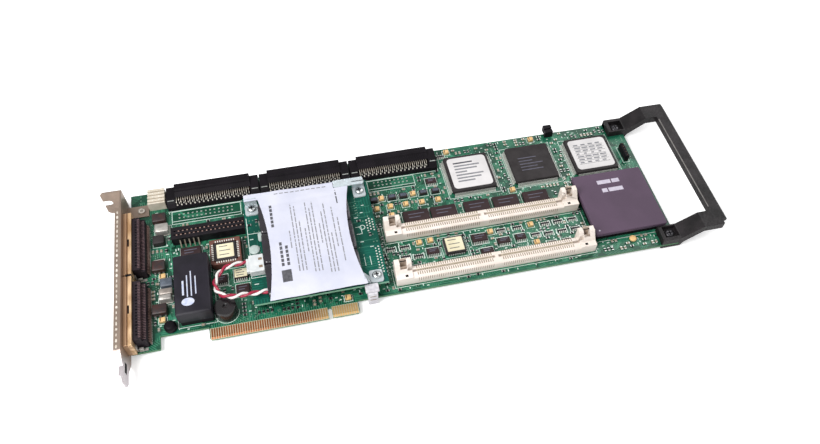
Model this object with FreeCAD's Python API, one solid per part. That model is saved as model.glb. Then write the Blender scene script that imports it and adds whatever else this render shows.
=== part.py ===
import FreeCAD, Part
import math
import os

from FreeCAD import Vector

# Full-length 32-bit expansion card that controls a disk array.
# Frame: +X runs along the card from the slot bracket to the end handle, +Y from the card-edge
# contacts to the top edge, +Z out of the component side.  The origin is on the component side,
# at the bottom edge of the contact tongue, in the middle of its key slot.
# Every piece is drawn from the board's left edge, and save() moves it to that origin.

# ---- board ----
board_length = 312.0
board_height = 106.68
board_thickness = 1.57
edge_rise = 7.8              # lower edge of the board above the end of the contact tongue
foot_width = 14.6            # tab beside the bracket that reaches down as far as the tongue
tongue_left = 39.9
contact_pitch = 1.27
contact_places = 62
key_place = 50.5             # middle of the key, counted in contact places from 1
tongue_margin = 1.42         # tongue edge to the middle of the first contact
key_width = 1.9
key_depth = 6.6
contact_width = 0.95
contact_low = 1.7
contact_top = 6.6
plating = 0.05
bevel_height = 1.5
bevel_depth = 0.45
board_corner = 1.0

# ---- slot bracket ----
plate_gap = 1.3              # board edge to the inner face of the plate
plate_thickness = 0.86
plate_length = 120.02
plate_width = 18.42
plate_top = 100.4            # seat of the bent tab, above the end of the contact tongue
plate_drop = 3.94            # plate edge below the component side
tab_length = 11.43
notch_width = 4.42
notch_depth = 5.0
shoulder_y = -4.0
shoulder_drop = 7.0
tongue_width = 10.19
tip_corner = 2.4
flange_width = 2.6
flange_top_y = 87.0
window_margin = 0.25

# ---- external connectors ----
shell_length = 42.6
shell_depth = 4.4
shell_height = 11.0
shell_gap = 0.7
shell_low_y = -0.6
nose_length = 31.0
nose_height = 6.4
nose_reach = 2.6             # how far the nose stands out of the plate
nose_wall = 0.6
port_axis_z = 5.6
jack_spacing = 36.6
jack_across = 4.6
jack_hole = 2.2
jack_reach = 3.2
jack_thread = 1.1            # radius of the tapped hole
housing_length = 36.0
housing_depth = 6.3
housing_height = 9.6
housing_step = 2.6

# ---- internal connectors ----
header_first_x = 21.6
header_length = 54.0
header_spacing = 54.7
header_low_y = board_height - 15.88
header_setback = 1.6         # mating face behind the board's top edge
tray_height = 2.4
ear_width = 5.0
ear_height = 5.8
mate_low_y = board_height - 7.08
mate_height = 7.8
wire_pitch = 1.27
wire_count = 34
wire_width = 0.5
wire_foot = 1.0

# ---- raised battery board ----
deck_left = 65.3
deck_low_y = 11.6
deck_length = 73.2
deck_height = 73.4
deck_thickness = 1.57
deck_level = 6.5
deck_post_across = 4.8
deck_screw_radius = 1.45
deck_screw_clearance = 0.1
pack_length = 51.2
pack_left = 73.8
pack_low_y = 12.6
pack_cell_width = 20.8
pack_cells = 3
pack_height = 5.5
cover_gap = 0.3
cover_thickness = 0.5
foot_thickness = 0.8
pair_diameter = 3.0          # two insulated wires twisted together

# ---- memory sockets ----
latch_width = 3.4
socket_left = board_length - 169.0
socket_length = 117.6
socket_low_y = (42.3, 11.9)
rail_depth = 8.4
rail_height = 6.0
tower_width = 9.6
tower_depth = 10.4
tower_height = 11.8
tower_front = 6.8
module_slot = 1.5
module_slot_depth = 3.6

# ---- large packages ----
flatpack_body = 28.0
flatpack_span = 30.6
flatpack_height = 3.5
flatpack_left = tuple(board_length - d for d in (122.4, 82.1, 42.6))
flatpack_low_y = tuple(board_height - d for d in (38.08, 38.18, 38.68))
processor_side = 44.45
processor_left = board_length - 49.1
processor_low_y = 18.6
processor_thickness = 2.6
processor_socket_height = 3.8
processor_socket_inset = 0.9

# ---- end handle ----
ear_left = board_length - 11.0
handle_end = board_length + 28.2
handle_low_y = edge_rise - 0.2
handle_high_y = board_height + 0.12
arm_width = 10.8
arm_thickness = 4.6
ear_top = 4.4
handle_rise = 7.8            # step of the arms, out of the board's plane
bar_width = 8.4
bar_thickness = 3.6
grip = 1.6                   # ear below the board
screw_radius = 1.4
screw_head_radius = 2.9
screw_head_height = 1.7

key_x = tongue_left + tongue_margin + (key_place - 1) * contact_pitch
tongue_length = (contact_places - 1) * contact_pitch + 2 * tongue_margin
deck_top = deck_level + deck_thickness
cover_level = deck_top + pack_height + cover_gap
plate_inner = -plate_gap
plate_outer = plate_inner - plate_thickness
plate_high_z = plate_width - plate_drop


def save(name, *solids):
    """Write one node, moved so that the key slot is at the origin."""
    shape = solids[0] if len(solids) == 1 else Part.makeCompound(list(solids))
    moved = shape.copy()
    moved.translate(Vector(-key_x, 0, 0))
    moved.exportStep("parts/%s.step" % name)


def block(x0, y0, z0, x1, y1, z1):
    return Part.makeBox(x1 - x0, y1 - y0, z1 - z0, Vector(x0, y0, z0))


def disc(x, y, z0, z1, radius):
    return Part.makeCylinder(radius, z1 - z0, Vector(x, y, z0))


def bar(points, reach):
    """Straight extrusion of a closed polygon along the vector reach."""
    wire = Part.makePolygon([Vector(*p) for p in points] + [Vector(*points[0])])
    return Part.Face(wire).extrude(Vector(*reach))


def joined(first, *others):
    return first.fuse(list(others)).removeSplitter()


def rectangle(x0, y0, x1, y1, z):
    corners = [(x0, y0, z), (x1, y0, z), (x1, y1, z), (x0, y1, z)]
    return Part.makePolygon([Vector(*c) for c in corners + corners[:1]])


def chip(x0, y0, width, depth, z0, height, draft=0.25):
    """Moulded package: widest at mid height, drawn in above and below."""
    middle = z0 + height * 0.45
    low = rectangle(x0 + draft, y0 + draft, x0 + width - draft, y0 + depth - draft, z0)
    mid = rectangle(x0, y0, x0 + width, y0 + depth, middle)
    high = rectangle(x0 + draft, y0 + draft, x0 + width - draft, y0 + depth - draft, z0 + height)
    return Part.makeLoft([low, mid, high], True, True)


lead_root = 0.15             # leads start this far inside the moulding


def lead_row(x0, y0, length, foot, height, side):
    """Gull-wing leads of one long side as one folded strip: side +1 points to +Y, -1 to -Y."""
    t = 0.18
    knee = foot * 0.5
    profile = [(0, height), (knee, height), (knee + 0.25, t), (foot, t), (foot, 0),
               (knee, 0), (knee - 0.25, height - t), (0, height - t)]
    return bar([(x0, y0 + side * p[0], p[1]) for p in profile], (length, 0, 0))


# ---------------------------------------------------------------- board
def main_board():
    right = tongue_left + tongue_length
    c = board_corner
    outline = [(0, 0), (foot_width, 0), (foot_width, edge_rise), (tongue_left, edge_rise), (tongue_left, c),
               (tongue_left + c, 0), (right - c, 0), (right, c), (right, edge_rise),
               (board_length, edge_rise), (board_length, board_height), (0, board_height)]
    body = bar([(x, y, -board_thickness) for x, y in outline], (0, 0, board_thickness))
    slot = block(key_x - key_width / 2, -1, -5, key_x + key_width / 2, key_depth - key_width / 2, 5)
    slot_end = disc(key_x, key_depth - key_width / 2, -5, 5, key_width / 2)
    body = body.cut([slot, slot_end])
    for z, way in ((0, -1), (-board_thickness, 1)):
        wedge = [(tongue_left - 1, -0.01, z + way * bevel_depth), (tongue_left - 1, -0.01, z - way),
                 (tongue_left - 1, bevel_height, z - way), (tongue_left - 1, bevel_height, z)]
        body = body.cut(bar(wedge, (tongue_length + 2, 0, 0)))
    holes = [disc(x, y, -5, 5, screw_radius + 0.1) for x, y in handle_screw_places]
    holes.append(disc(rivet_place[0], rivet_place[1], -5, 5, rivet_radius))
    return body.cut(holes)


def edge_contacts():
    strips = []
    for place in range(1, contact_places + 1):
        if abs(place - key_place) < 1:
            continue
        x = tongue_left + tongue_margin + (place - 1) * contact_pitch - contact_width / 2
        strips.append(block(x, contact_low, 0, x + contact_width, contact_top, plating))
    return strips


# ---------------------------------------------------------------- slot bracket
rivet_place = (6.4, plate_top - 7.0)
rivet_radius = 1.2
lug_size = 8.2
port_middle_y = [shell_low_y + shell_length / 2 + n * (shell_length + shell_gap) for n in (0, 1)]


def slot_bracket():
    low = plate_top - plate_length
    half = tongue_width / 2
    mid_z = plate_high_z - plate_width / 2
    end_y = shoulder_y - shoulder_drop
    side = [(plate_top, plate_high_z), (shoulder_y, plate_high_z), (end_y, mid_z + half),
            (low + tip_corner, mid_z + half), (low, mid_z + half - tip_corner),
            (low, mid_z - half + tip_corner), (low + tip_corner, mid_z - half), (end_y, mid_z - half),
            (shoulder_y, -plate_drop), (plate_top, -plate_drop)]
    plate = bar([(plate_outer, y, z) for y, z in side], (plate_thickness, 0, 0))
    # stiffening flange, bent outwards along the high edge and down the shoulder
    t = plate_thickness
    tip_y = low + tip_corner + 1
    edge = [(flange_top_y, plate_high_z), (shoulder_y, plate_high_z), (end_y, mid_z + half),
            (tip_y, mid_z + half), (tip_y, mid_z + half - t), (end_y - 0.3, mid_z + half - t),
            (shoulder_y - 0.3, plate_high_z - t), (flange_top_y, plate_high_z - t)]
    flange_end = plate_outer - flange_width
    flange = bar([(flange_end, y, z) for y, z in edge], (flange_width, 0, 0))
    taper_side = [(flange_end - 1, shoulder_y), (flange_end, shoulder_y), (plate_outer - 1.2, end_y),
                  (plate_outer - 1.2, low - 5), (flange_end - 1, low - 5)]
    taper = bar([(x, y, -20) for x, y in taper_side], (0, 0, 60))
    flange = flange.cut(taper)
    # mounting tab, bent outwards at the top, with its open screw notch
    tab_end = plate_outer - tab_length
    c = 1.6
    tab_side = [(plate_outer, -plate_drop), (tab_end + c, -plate_drop), (tab_end, -plate_drop + c),
                (tab_end, plate_high_z - c), (tab_end + c, plate_high_z), (plate_outer, plate_high_z)]
    tab = bar([(x, plate_top - t, z) for x, z in tab_side], (0, t, 0))
    radius = notch_width / 2
    notch_x = tab_end + notch_depth - radius
    notch = block(tab_end - 1, plate_top - 5, mid_z - radius, notch_x, plate_top + 5, mid_z + radius)
    notch_end = Part.makeCylinder(radius, 10, Vector(notch_x, plate_top - 5, mid_z), Vector(0, 1, 0))
    tab = tab.cut([notch, notch_end])
    body = joined(plate, flange, tab)
    # lug that carries the board, riveted to it
    x, y = rivet_place
    lug = block(plate_inner, y - lug_size / 2, 0, x + lug_size / 2, y + lug_size / 2, t)
    body = joined(body, lug).cut(disc(x, y, -1, 5, rivet_radius))
    # windows for the two ports and their jack posts
    m = window_margin
    for y in port_middle_y:
        cut = block(plate_outer - 1, y - nose_length / 2 - m, port_axis_z - nose_height / 2 - m,
                    plate_inner + 0.001, y + nose_length / 2 + m, port_axis_z + nose_height / 2 + m)
        places = [Vector(plate_outer - 1, y + s * jack_spacing / 2, port_axis_z) for s in (-1, 1)]
        posts = [Part.makeCylinder(jack_hole + m, 4, place, Vector(1, 0, 0)) for place in places]
        body = body.cut([cut] + posts)
    return body


def bracket_rivet():
    x, y = rivet_place
    t = plate_thickness
    return joined(disc(x, y, -board_thickness - 0.6, t + 0.1, rivet_radius), disc(x, y, t, t + 0.7, 2.1),
                  disc(x, y, -board_thickness - 0.6, -board_thickness, 1.9))


# ---------------------------------------------------------------- external connectors
def port_shell(mid_y):
    """Plated shell: two upright plates with a groove between them, and the nose that fills the window."""
    half = shell_length / 2
    groove = 0.5
    first = shell_depth / 2 - groove / 2
    x0 = plate_inner
    body = block(x0, mid_y - half, 0, x0 + shell_depth, mid_y + half, shell_height)
    body = body.cut(block(x0 + first, mid_y - half - 1, shell_height - 1.6, x0 + first + groove,
                          mid_y + half + 1, shell_height + 1))
    c = 1.5
    nose_x = plate_outer - nose_reach
    n, h = nose_length / 2, nose_height / 2
    outline = [(-n + c, -h), (n - c, -h), (n, -h + c), (n, h), (-n, h), (-n, -h + c)]
    nose = bar([(nose_x, mid_y + y, port_axis_z + z) for y, z in outline], (x0 - nose_x + 1, 0, 0))
    hollow = [(y * (1 - nose_wall / n), z * (1 - nose_wall / h)) for y, z in outline]
    mouth = bar([(nose_x - 1, mid_y + y, port_axis_z + z) for y, z in hollow], (x0 - nose_x + 3, 0, 0))
    body = joined(body, nose).cut(mouth)
    posts = [Part.makeCylinder(jack_hole, 4.2, Vector(x0 - 2, mid_y + s * jack_spacing / 2, port_axis_z),
                               Vector(1, 0, 0)) for s in (-1, 1)]
    return body.cut(posts)


def port_housing(mid_y):
    """Moulded body behind the shell, stepped down at the back, with the tongue inside the nose."""
    half = housing_length / 2
    x0 = plate_inner + shell_depth
    side = [(x0, 0), (x0 + housing_depth, 0), (x0 + housing_depth, housing_height - housing_step),
            (x0 + housing_depth - 2.2, housing_height - housing_step),
            (x0 + housing_depth - 2.2, housing_height), (x0, housing_height)]
    body = bar([(x, mid_y - half, z) for x, z in side], (0, housing_length, 0))
    slot_count = 17
    pitch = (housing_length - 4) / slot_count
    slots = []
    for n in range(slot_count):
        y = mid_y - half + 2 + pitch * (n + 0.25)
        slots.append(block(x0 + 1.6, y, housing_height - 0.8, x0 + 2.8, y + pitch / 2, housing_height + 1))
    return body.cut(slots)


def port_tongue(mid_y):
    n = nose_length / 2 - 2.2
    x_front, x_back = plate_outer - nose_reach + 0.8, plate_inner + 2
    return block(x_front, mid_y - n, port_axis_z - 0.9, x_back, mid_y + n, port_axis_z + 0.9)


def jack_posts():
    posts = []
    for y in port_middle_y:
        for s in (-1, 1):
            place = Vector(plate_outer, y + s * jack_spacing / 2, port_axis_z)
            r = jack_across / math.sqrt(3)
            turns = [math.radians(60 * k) for k in range(7)]
            ring = [place + Vector(0, r * math.cos(a), r * math.sin(a)) for a in turns]
            head = Part.Face(Part.makePolygon(ring)).extrude(Vector(-jack_reach, 0, 0))
            inner_ring = [place + (p - place) * 0.8 for p in ring]
            stem = Part.Face(Part.makePolygon(inner_ring)).extrude(Vector(plate_thickness + 2, 0, 0))
            mouth = place - Vector(jack_reach, 0, 0)
            thread = Part.makeCylinder(jack_thread, jack_reach + 1, mouth, Vector(1, 0, 0))
            posts.append(joined(head, stem).cut(thread))
    return posts


# ---------------------------------------------------------------- internal connectors
def header_body(x0):
    """Right-angle header: low tray over the board, two ears, and the raised mating block at the back."""
    x1 = x0 + header_length
    back = board_height - header_setback
    tray = block(x0, header_low_y, 0, x1, mate_low_y, tray_height)
    front_lip = block(x0 + ear_width, header_low_y, tray_height,
                      x1 - ear_width, header_low_y + 0.7, tray_height + 0.6)
    mate = [(mate_low_y, 0), (back, 0), (back, mate_height - 0.6), (back - 0.6, mate_height),
            (mate_low_y + 0.8, mate_height), (mate_low_y, mate_height - 0.8)]
    mate_block = bar([(x0 + ear_width, y, z) for y, z in mate], (header_length - 2 * ear_width, 0, 0))
    ear = [(header_low_y, 0), (back - 1.0, 0), (back - 1.0, ear_height), (header_low_y + 4, ear_height),
           (header_low_y + 2, ear_height - 1.5), (header_low_y, tray_height)]
    ears = [bar([(x, y, z) for y, z in ear], (ear_width, 0, 0)) for x in (x0, x1 - ear_width)]
    mouth = block(x0 + ear_width + 1.4, back - 4.6, 0.9, x1 - ear_width - 1.4, back + 1, mate_height - 0.9)
    keel = block(x0 + ear_width + 3, back - 4.7, 2.9, x1 - ear_width - 3, back - 0.8, 4.9)
    body = joined(tray, front_lip, mate_block, *ears)
    return joined(body.cut(mouth), keel)


def header_contacts(x0):
    """Two staggered rows of bent contact wires, from the mating block down into the tray."""
    wires = []
    first = x0 + header_length / 2 - (wire_count - 1) * wire_pitch / 2
    rows = ((0.0, 6.4, header_low_y + 2.0), (wire_pitch / 2, 4.4, header_low_y + 4.4))
    for shift, z_back, y_foot in rows:
        side = [(mate_low_y, z_back), (y_foot, tray_height), (y_foot + wire_foot, tray_height)]
        for n in range(wire_count):
            x = first + n * wire_pitch + shift - wire_pitch / 4 - wire_width / 2
            wires.append(bar([(x, y, z) for y, z in side], (wire_width, 0, 0)))
    return wires


# ---------------------------------------------------------------- memory sockets
def memory_socket(y0):
    x0, x1 = socket_left, socket_left + socket_length
    rail_side = [(0, 0), (rail_depth, 0), (rail_depth, rail_height - 0.8), (rail_depth - 0.8, rail_height),
                 (0.6, rail_height), (0, rail_height - 0.6)]
    rail = bar([(x0 + 2, y0 + y, z) for y, z in rail_side], (socket_length - 4, 0, 0))
    tower_side = [(0, 0), (tower_depth, 0), (tower_depth, tower_height), (tower_depth - 3.4, tower_height),
                  (3.2, tower_front), (0, tower_front)]
    tower_places = (x0, x1 - tower_width)
    towers = [bar([(x, y0 + y, z) for y, z in tower_side], (tower_width, 0, 0)) for x in tower_places]
    body = joined(rail, *towers)
    groove_y = y0 + rail_depth / 2
    inset = tower_width - 2.6
    groove = block(x0 + inset, groove_y, rail_height - module_slot_depth,
                   x1 - inset, groove_y + module_slot, tower_height + 1)
    bridge_x = (x0 + x1) / 2
    groove = groove.cut(block(bridge_x - 1.0, groove_y - 1, 0, bridge_x + 1.0, groove_y + 3, rail_height))
    pockets = [block(x, y0 + 5.0, 5.0, x + latch_width + 0.4, y0 + tower_depth + 1, tower_height + 1)
               for x in (x0 + 3.0, x1 - 3.0 - latch_width - 0.4)]
    return body.cut([groove] + pockets)


def socket_latches():
    """Sprung steel latch folded up in each tower."""
    pieces = []
    for y0 in socket_low_y:
        for x in (socket_left + 3.2, socket_left + socket_length - 3.2 - latch_width):
            fold = [(5.2, 5.0), (8.6, 5.0), (9.9, tower_height + 0.9), (9.3, tower_height + 0.9),
                    (8.1, 5.6), (5.8, 5.6), (6.6, 9.4), (6.0, 9.6)]
            pieces.append(bar([(x, y0 + y, z) for y, z in fold], (latch_width, 0, 0)))
    return pieces


# ---------------------------------------------------------------- raised battery board
post_places = [(70.2, 75.6), (133.4, 76.6), (132.5, 16.2)]
snap_place = (69.0, 47.0)
snap_radius = 1.5
socket_place = (65.5, 29.6)      # low left corner of the battery socket
lead_exit = (63.9, 38.0, 10.6)


def battery_board():
    body = block(deck_left, deck_low_y, deck_level,
                 deck_left + deck_length, deck_low_y + deck_height, deck_top)
    r = deck_screw_radius + deck_screw_clearance
    holes = [disc(x, y, deck_level - 1, deck_top + 1, r) for x, y in post_places]
    holes.append(disc(snap_place[0], snap_place[1], deck_level - 1, deck_top + 1, snap_radius + 0.1))
    return body.cut(holes)


def hexagon(x, y, z0, z1, across):
    r = across / math.sqrt(3)
    corners = [(x + r * math.cos(math.radians(60 * k)), y + r * math.sin(math.radians(60 * k)), z0)
               for k in range(6)]
    return bar(corners, (0, 0, z1 - z0))


def deck_posts():
    posts = []
    for x, y in post_places:
        post = hexagon(x, y, 0, deck_level, deck_post_across)
        bore = disc(x, y, 1.5, deck_level + 1, deck_screw_radius + deck_screw_clearance / 2)
        posts.append(post.cut(bore))
    return posts


def snap_post():
    x, y = snap_place
    stem = hexagon(x, y, 0, deck_level, deck_post_across)
    neck = disc(x, y, deck_level - 0.1, deck_top + 0.1, snap_radius)
    head = disc(x, y, deck_top, deck_top + 1.3, 3.1)
    return joined(stem, neck, head)


def cover_screws():
    screws = []
    for x, y in post_places:
        seat = deck_top + foot_thickness
        shank = disc(x, y, 2.0, seat + 0.1, deck_screw_radius)
        head = disc(x, y, seat, seat + 1.6, 2.6)
        screws.append(joined(shank, head))
    return screws


def battery_pack():
    """Flat cells side by side in one black shrink sleeve."""
    z0 = deck_top
    edges = []
    for n in range(pack_cells):
        y0 = pack_low_y + n * pack_cell_width
        y1 = y0 + pack_cell_width
        z1 = z0 + pack_height
        c = 1.4
        ring = [(y0 + c, z0), (y1 - c, z0), (y1, z0 + c), (y1, z1 - c),
                (y1 - c, z1), (y0 + c, z1), (y0, z1 - c), (y0, z0 + c)]
        edges.append(bar([(pack_left, y, z) for y, z in ring], (pack_length, 0, 0)))
    return joined(*edges)


def battery_cover():
    """Clear formed sheet: waisted top over the pack, with feet screwed to the battery board."""
    z0, z1 = cover_level, cover_level + cover_thickness
    left, right = 66.4, 136.4
    top, strip_low, low = 82.8, 77.6, 9.4
    waist_left, waist_right = 78.0, 122.4
    corner_left, corner_right = 74.4, 126.8
    waist_y = 45.0
    v = Vector
    waist = v(waist_right, waist_y, z0)
    edges = [
        Part.makeLine(v(corner_left, low, z0), v(corner_right, low, z0)),
        Part.Arc(v(corner_right, low, z0), waist, v(corner_right, strip_low, z0)).toShape(),
        Part.makeLine(v(corner_right, strip_low, z0), v(right, strip_low, z0)),
        Part.makeLine(v(right, strip_low, z0), v(right, top, z0)),
        Part.makeLine(v(right, top, z0), v(left, top, z0)),
        Part.makeLine(v(left, top, z0), v(left, strip_low, z0)),
        Part.makeLine(v(left, strip_low, z0), v(corner_left, strip_low, z0)),
        Part.Arc(v(corner_left, strip_low, z0), v(waist_left, waist_y, z0),
                 v(corner_left, low, z0)).toShape(),
    ]
    sheet = Part.Face(Part.Wire(edges)).extrude(v(0, 0, cover_thickness))
    pieces = []
    for index, (x, y) in enumerate(post_places):
        foot_z1 = deck_top + foot_thickness
        foot = block(x - 3.9, y - 4.2, deck_top, x + 3.5, y + 3.7, foot_z1)
        if index < 2:
            web = block(x - 3.7, y + 3.0, deck_top + 0.1, x + 3.3, y + 3.7, z1)
        else:
            slope = [(x - 3.9, deck_top), (x - 3.9, foot_z1), (corner_right - 1.4, z1),
                     (corner_right - 1.4, z0), (x - 4.6, deck_top)]
            web = bar([(a, y - 4.2, z) for a, z in slope], (0, 4.2, 0))
        pieces.append(joined(foot, web))
    body = joined(sheet, *pieces)
    foot_top = deck_top + foot_thickness
    return body.cut([disc(x, y, deck_top - 1, foot_top + 0.01, 1.8) for x, y in post_places])


def battery_socket():
    """White two-way socket on the battery board, with its plug's latch ramp."""
    x, y = socket_place
    body = block(x, y, deck_top, x + 8.0, y + 11.2, deck_top + 4.6)
    return body.cut(block(x - 1, y + 1.2, deck_top + 1.0, x + 6.2, y + 10.0, deck_top + 3.8))


def battery_plug():
    x, y = socket_place
    return block(lead_exit[0], y + 1.3, deck_top + 1.1, x + 6.0, y + 9.9, deck_top + 3.7)


lead_route = [lead_exit, (60.2, 38.0, 10.6), (53.2, 38.0, 10.2), (47.8, 34.0, 9.4),
              (45.7, 27.6, 9.2), (47.8, 21.2, 10.2), (53.2, 17.2, 11.3), (60.4, 17.2, 11.5),
              (67.0, 17.2, 10.9), (73.8, 17.2, 10.9)]


def rounded_path(points):
    """Straight runs joined by tangent arcs, each as large as its two runs allow."""
    pts = [Vector(*p) for p in points]
    edges = []
    start = pts[0]
    for a, b, c in zip(pts, pts[1:], pts[2:]):
        into = (b - a).normalize()
        out = (c - b).normalize()
        turn = into.getAngle(out)
        reach = 0.45 * min((b - a).Length, (c - b).Length)
        radius = reach / math.tan(turn / 2)
        print("lead bend radius %.1f" % radius)
        p, q = b - into * reach, b + out * reach
        bisector = (out - into).normalize()
        middle = b + bisector * (radius / math.cos(turn / 2) - radius)
        edges.append(Part.makeLine(start, p))
        edges.append(Part.Arc(p, middle, q).toShape())
        start = q
    edges.append(Part.makeLine(start, pts[-1]))
    return Part.Wire(edges)


def battery_lead():
    path = rounded_path(lead_route)
    begin = Vector(*lead_route[1]) - Vector(*lead_route[0])
    ring = Part.Wire(Part.makeCircle(pair_diameter / 2, Vector(*lead_route[0]), begin))
    tube = path.makePipeShell([ring], True, False)
    print("lead %.1f mm, volume ratio %.3f" % (path.Length,
          tube.Volume / (path.Length * math.pi * pair_diameter ** 2 / 4)))
    return tube


def board_clip():
    """Nylon clip that grips the main board's lower edge and props the battery board."""
    x0, x1 = 124.8, 132.2
    low, high = edge_rise - 2.4, edge_rise + 3.2
    body = block(x0, low, -board_thickness - 1.5, x1, high, deck_top + 0.9)
    body = joined(body, block(x0 + 1.4, high - 0.1, deck_level - 1.3, x1 - 1.4, high + 3.0, deck_level))
    slot = block(x0 - 1, edge_rise, -board_thickness, x1 + 1, high + 5, 0)
    notch = block(x0 - 1, deck_low_y - 0.1, deck_level, x1 + 1, high + 5, deck_top + 3)
    return body.cut([slot, notch])


# ---------------------------------------------------------------- handle
handle_screw_places = [(ear_left + 6.4, handle_high_y - 6.0), (ear_left + 6.6, handle_low_y + 6.0)]


def card_handle():
    """Moulded end handle: two ears clamp the board, cranked arms lift the bar out of its plane."""
    bottom = -board_thickness - grip
    slope_0 = board_length + 1.2
    slope_1 = slope_0 + 11.0
    bar_low = handle_end - bar_width
    top = ear_top + handle_rise
    arm_end = handle_end - 3.4
    side = [(ear_left, bottom), (slope_0, bottom), (slope_0 + 1.5, ear_top - arm_thickness),
            (slope_1 + 1.0, top - arm_thickness), (arm_end, top - arm_thickness), (arm_end, top),
            (slope_1, top), (slope_0 - 0.8, ear_top), (ear_left, ear_top)]
    arms = []
    for y in (handle_low_y, handle_high_y - arm_width):
        arms.append(bar([(x, y, z) for x, z in side], (0, arm_width, 0)))
    z1 = top
    z0 = top - bar_thickness
    low, high = handle_low_y + 3.6, handle_high_y
    c = 1.2
    cross = [(bar_low, z0), (handle_end - c, z0), (handle_end, z0 + c), (handle_end, z1 - c),
             (handle_end - c, z1), (bar_low, z1)]
    rail = bar([(x, low, z) for x, z in cross], (0, high - low, 0))
    rib = block(bar_low + 2.6, low + 8, z0 - 1.6, bar_low + 4.2, high - 8, z0)
    body = joined(rail, rib, *arms)
    for (x, y), base in zip(handle_screw_places, (handle_high_y - arm_width, handle_low_y)):
        pocket = block(x - 4.2, y - 3.8, 1.4, x + 4.2, y + 3.8, ear_top + 1)
        body = body.cut([pocket, disc(x, y, bottom - 1, 3, screw_radius + 0.15)])
    # slot that takes the board
    body = body.cut(block(ear_left - 1, -5, -board_thickness, board_length, board_height, 0))
    corner = block(handle_end - 2.2, high - 2.2, z0 - 3, handle_end + 1, high + 1, z1 + 1)
    corner = corner.cut(disc(handle_end - 2.2, high - 2.2, z0 - 3, z1 + 1, 2.2))
    return body.cut(corner)


def handle_screws():
    screws = []
    for x, y in handle_screw_places:
        shank = disc(x, y, -board_thickness - grip + 0.1, 1.5, screw_radius)
        head = disc(x, y, 1.4, 1.4 + screw_head_height, screw_head_radius)
        screws.append(joined(shank, head))
    return screws


# ---------------------------------------------------------------- packages
def flatpack(x0, y0):
    """Quad flat package with its four rows of gull-wing leads."""
    body = chip(x0, y0, flatpack_body, flatpack_body, 0.35, flatpack_height - 0.35, 0.35)
    reach = (flatpack_span - flatpack_body) / 2
    inset = 1.2
    length = flatpack_body - 2 * inset
    rows = [lead_row(x0 + inset, y0 + flatpack_body - lead_root, length, reach + lead_root, 1.75, 1),
            lead_row(x0 + inset, y0 + lead_root, length, reach + lead_root, 1.75, -1)]
    centre = Vector(x0 + flatpack_body / 2, y0 + flatpack_body / 2, 0)
    for row in list(rows):
        turned = row.copy()
        turned.rotate(centre, Vector(0, 0, 1), 90)
        rows.append(turned)
    return joined(body, *rows)


def small_outline(x0, y0, width, depth, height, foot=1.0):
    """Package with leads along its two long sides."""
    body = chip(x0, y0, width, depth, 0.2, height - 0.2, 0.15)
    knee = 0.2 + (height - 0.2) * 0.45 + 0.09
    rows = [lead_row(x0 + 0.4, y0 + depth - lead_root, width - 0.8, foot + lead_root, knee, 1),
            lead_row(x0 + 0.4, y0 + lead_root, width - 0.8, foot + lead_root, knee, -1)]
    return joined(body, *rows)


def spread(places, maker):
    solids = []
    for place in places:
        made = maker(*place)
        solids += made if isinstance(made, list) else [made]
    return solids


def small_body(x, y, width, depth, height, draft):
    """Chip-sized moulding around x, y, slightly narrower at its top."""
    x0, y0, x1, y1 = x - width / 2, y - depth / 2, x + width / 2, y + depth / 2
    return Part.makeLoft([rectangle(x0, y0, x1, y1, 0),
                          rectangle(x0 + draft, y0 + draft, x1 - draft, y1 - draft, height)], True, True)


def tantalum(x, y):
    return small_body(x, y, 3.5, 2.8, 2.0, 0.12)


def inductor(x, y):
    return small_body(x, y, 5.0, 3.2, 2.4, 0.2)


def resistor_pack(x, y):
    return small_body(x, y, 5.0, 1.7, 0.9, 0.1)


def from_socket(*places):
    """Places given from the left end of the memory sockets."""
    return [(socket_left + x,) + tuple(rest) for x, *rest in places]


top_row_y = board_height - 3.6
tantalum_places = from_socket(
    (3.2, 74.6), (7.4, 67.6), (16.8, 67.6), (22.7, 74.5), (26.7, 67.2), (36.7, 67.1),
    (-1.0, 67.2), (7.0, 60.8), (18.4, 38.2), (25.1, 38.4), (61.1, 37.4), (86.1, 37.6),
    (86.0, 24.6), (83.4, 65.2), (50.6, top_row_y), (106.9, top_row_y))
tantalum_places += [(115.2, 10.2), (17.1, 44.7), (16.3, 16.8)]
inductor_places = from_socket((-1.6, 73.9), (9.6, 74.2), (16.6, 73.9), (29.0, 73.9), (36.6, 73.9))
resistor_places = from_socket(
    (95.0, 36.8), (103.2, 36.8), (111.9, 36.8), (95.0, 29.8), (103.4, 29.8), (111.9, 29.8),
    (95.0, 23.0), (103.8, 23.0), (67.6, 37.4), (77.8, 37.4), (87.0, 30.4), (77.6, 22.2),
    (1.4, 37.0), (9.6, 37.0), (8.9, 30.2), (16.4, 29.4), (13.5, 22.8), (21.4, 22.4),
    (46.0, board_height - 6.28))
logic_places = from_socket(
    (21.4, 28.6, 7.2, 4.0, 1.9), (49.0, 31.6, 9.4, 5.2, 2.0), (52.0, 22.4, 7.6, 3.8, 1.9),
    (63.4, 27.6, 7.6, 3.8, 1.9), (74.4, 28.2, 6.4, 3.8, 1.9), (32.6, 80.0, 6.4, 3.8, 1.8))
logic_places += [(45.0, 33.6, 6.8, 5.0, 1.8), (56.0, 24.6, 7.4, 5.6, 2.2), (27.4, 54.4, 11.4, 6.6, 2.6)]
buffer_left = tuple(socket_left + d for d in (13.2, 30.0, 50.4, 68.6, 87.6))
timing_left = socket_left + 31.9
buffer_size = (15.6, 8.4, 2.6)
buffer_low_y = 52.5
label_thickness = 0.1
clock_chip = (55.6, 34.4, 7.7, 6.0, 2.6)     # low left corner, width, depth and top


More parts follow.
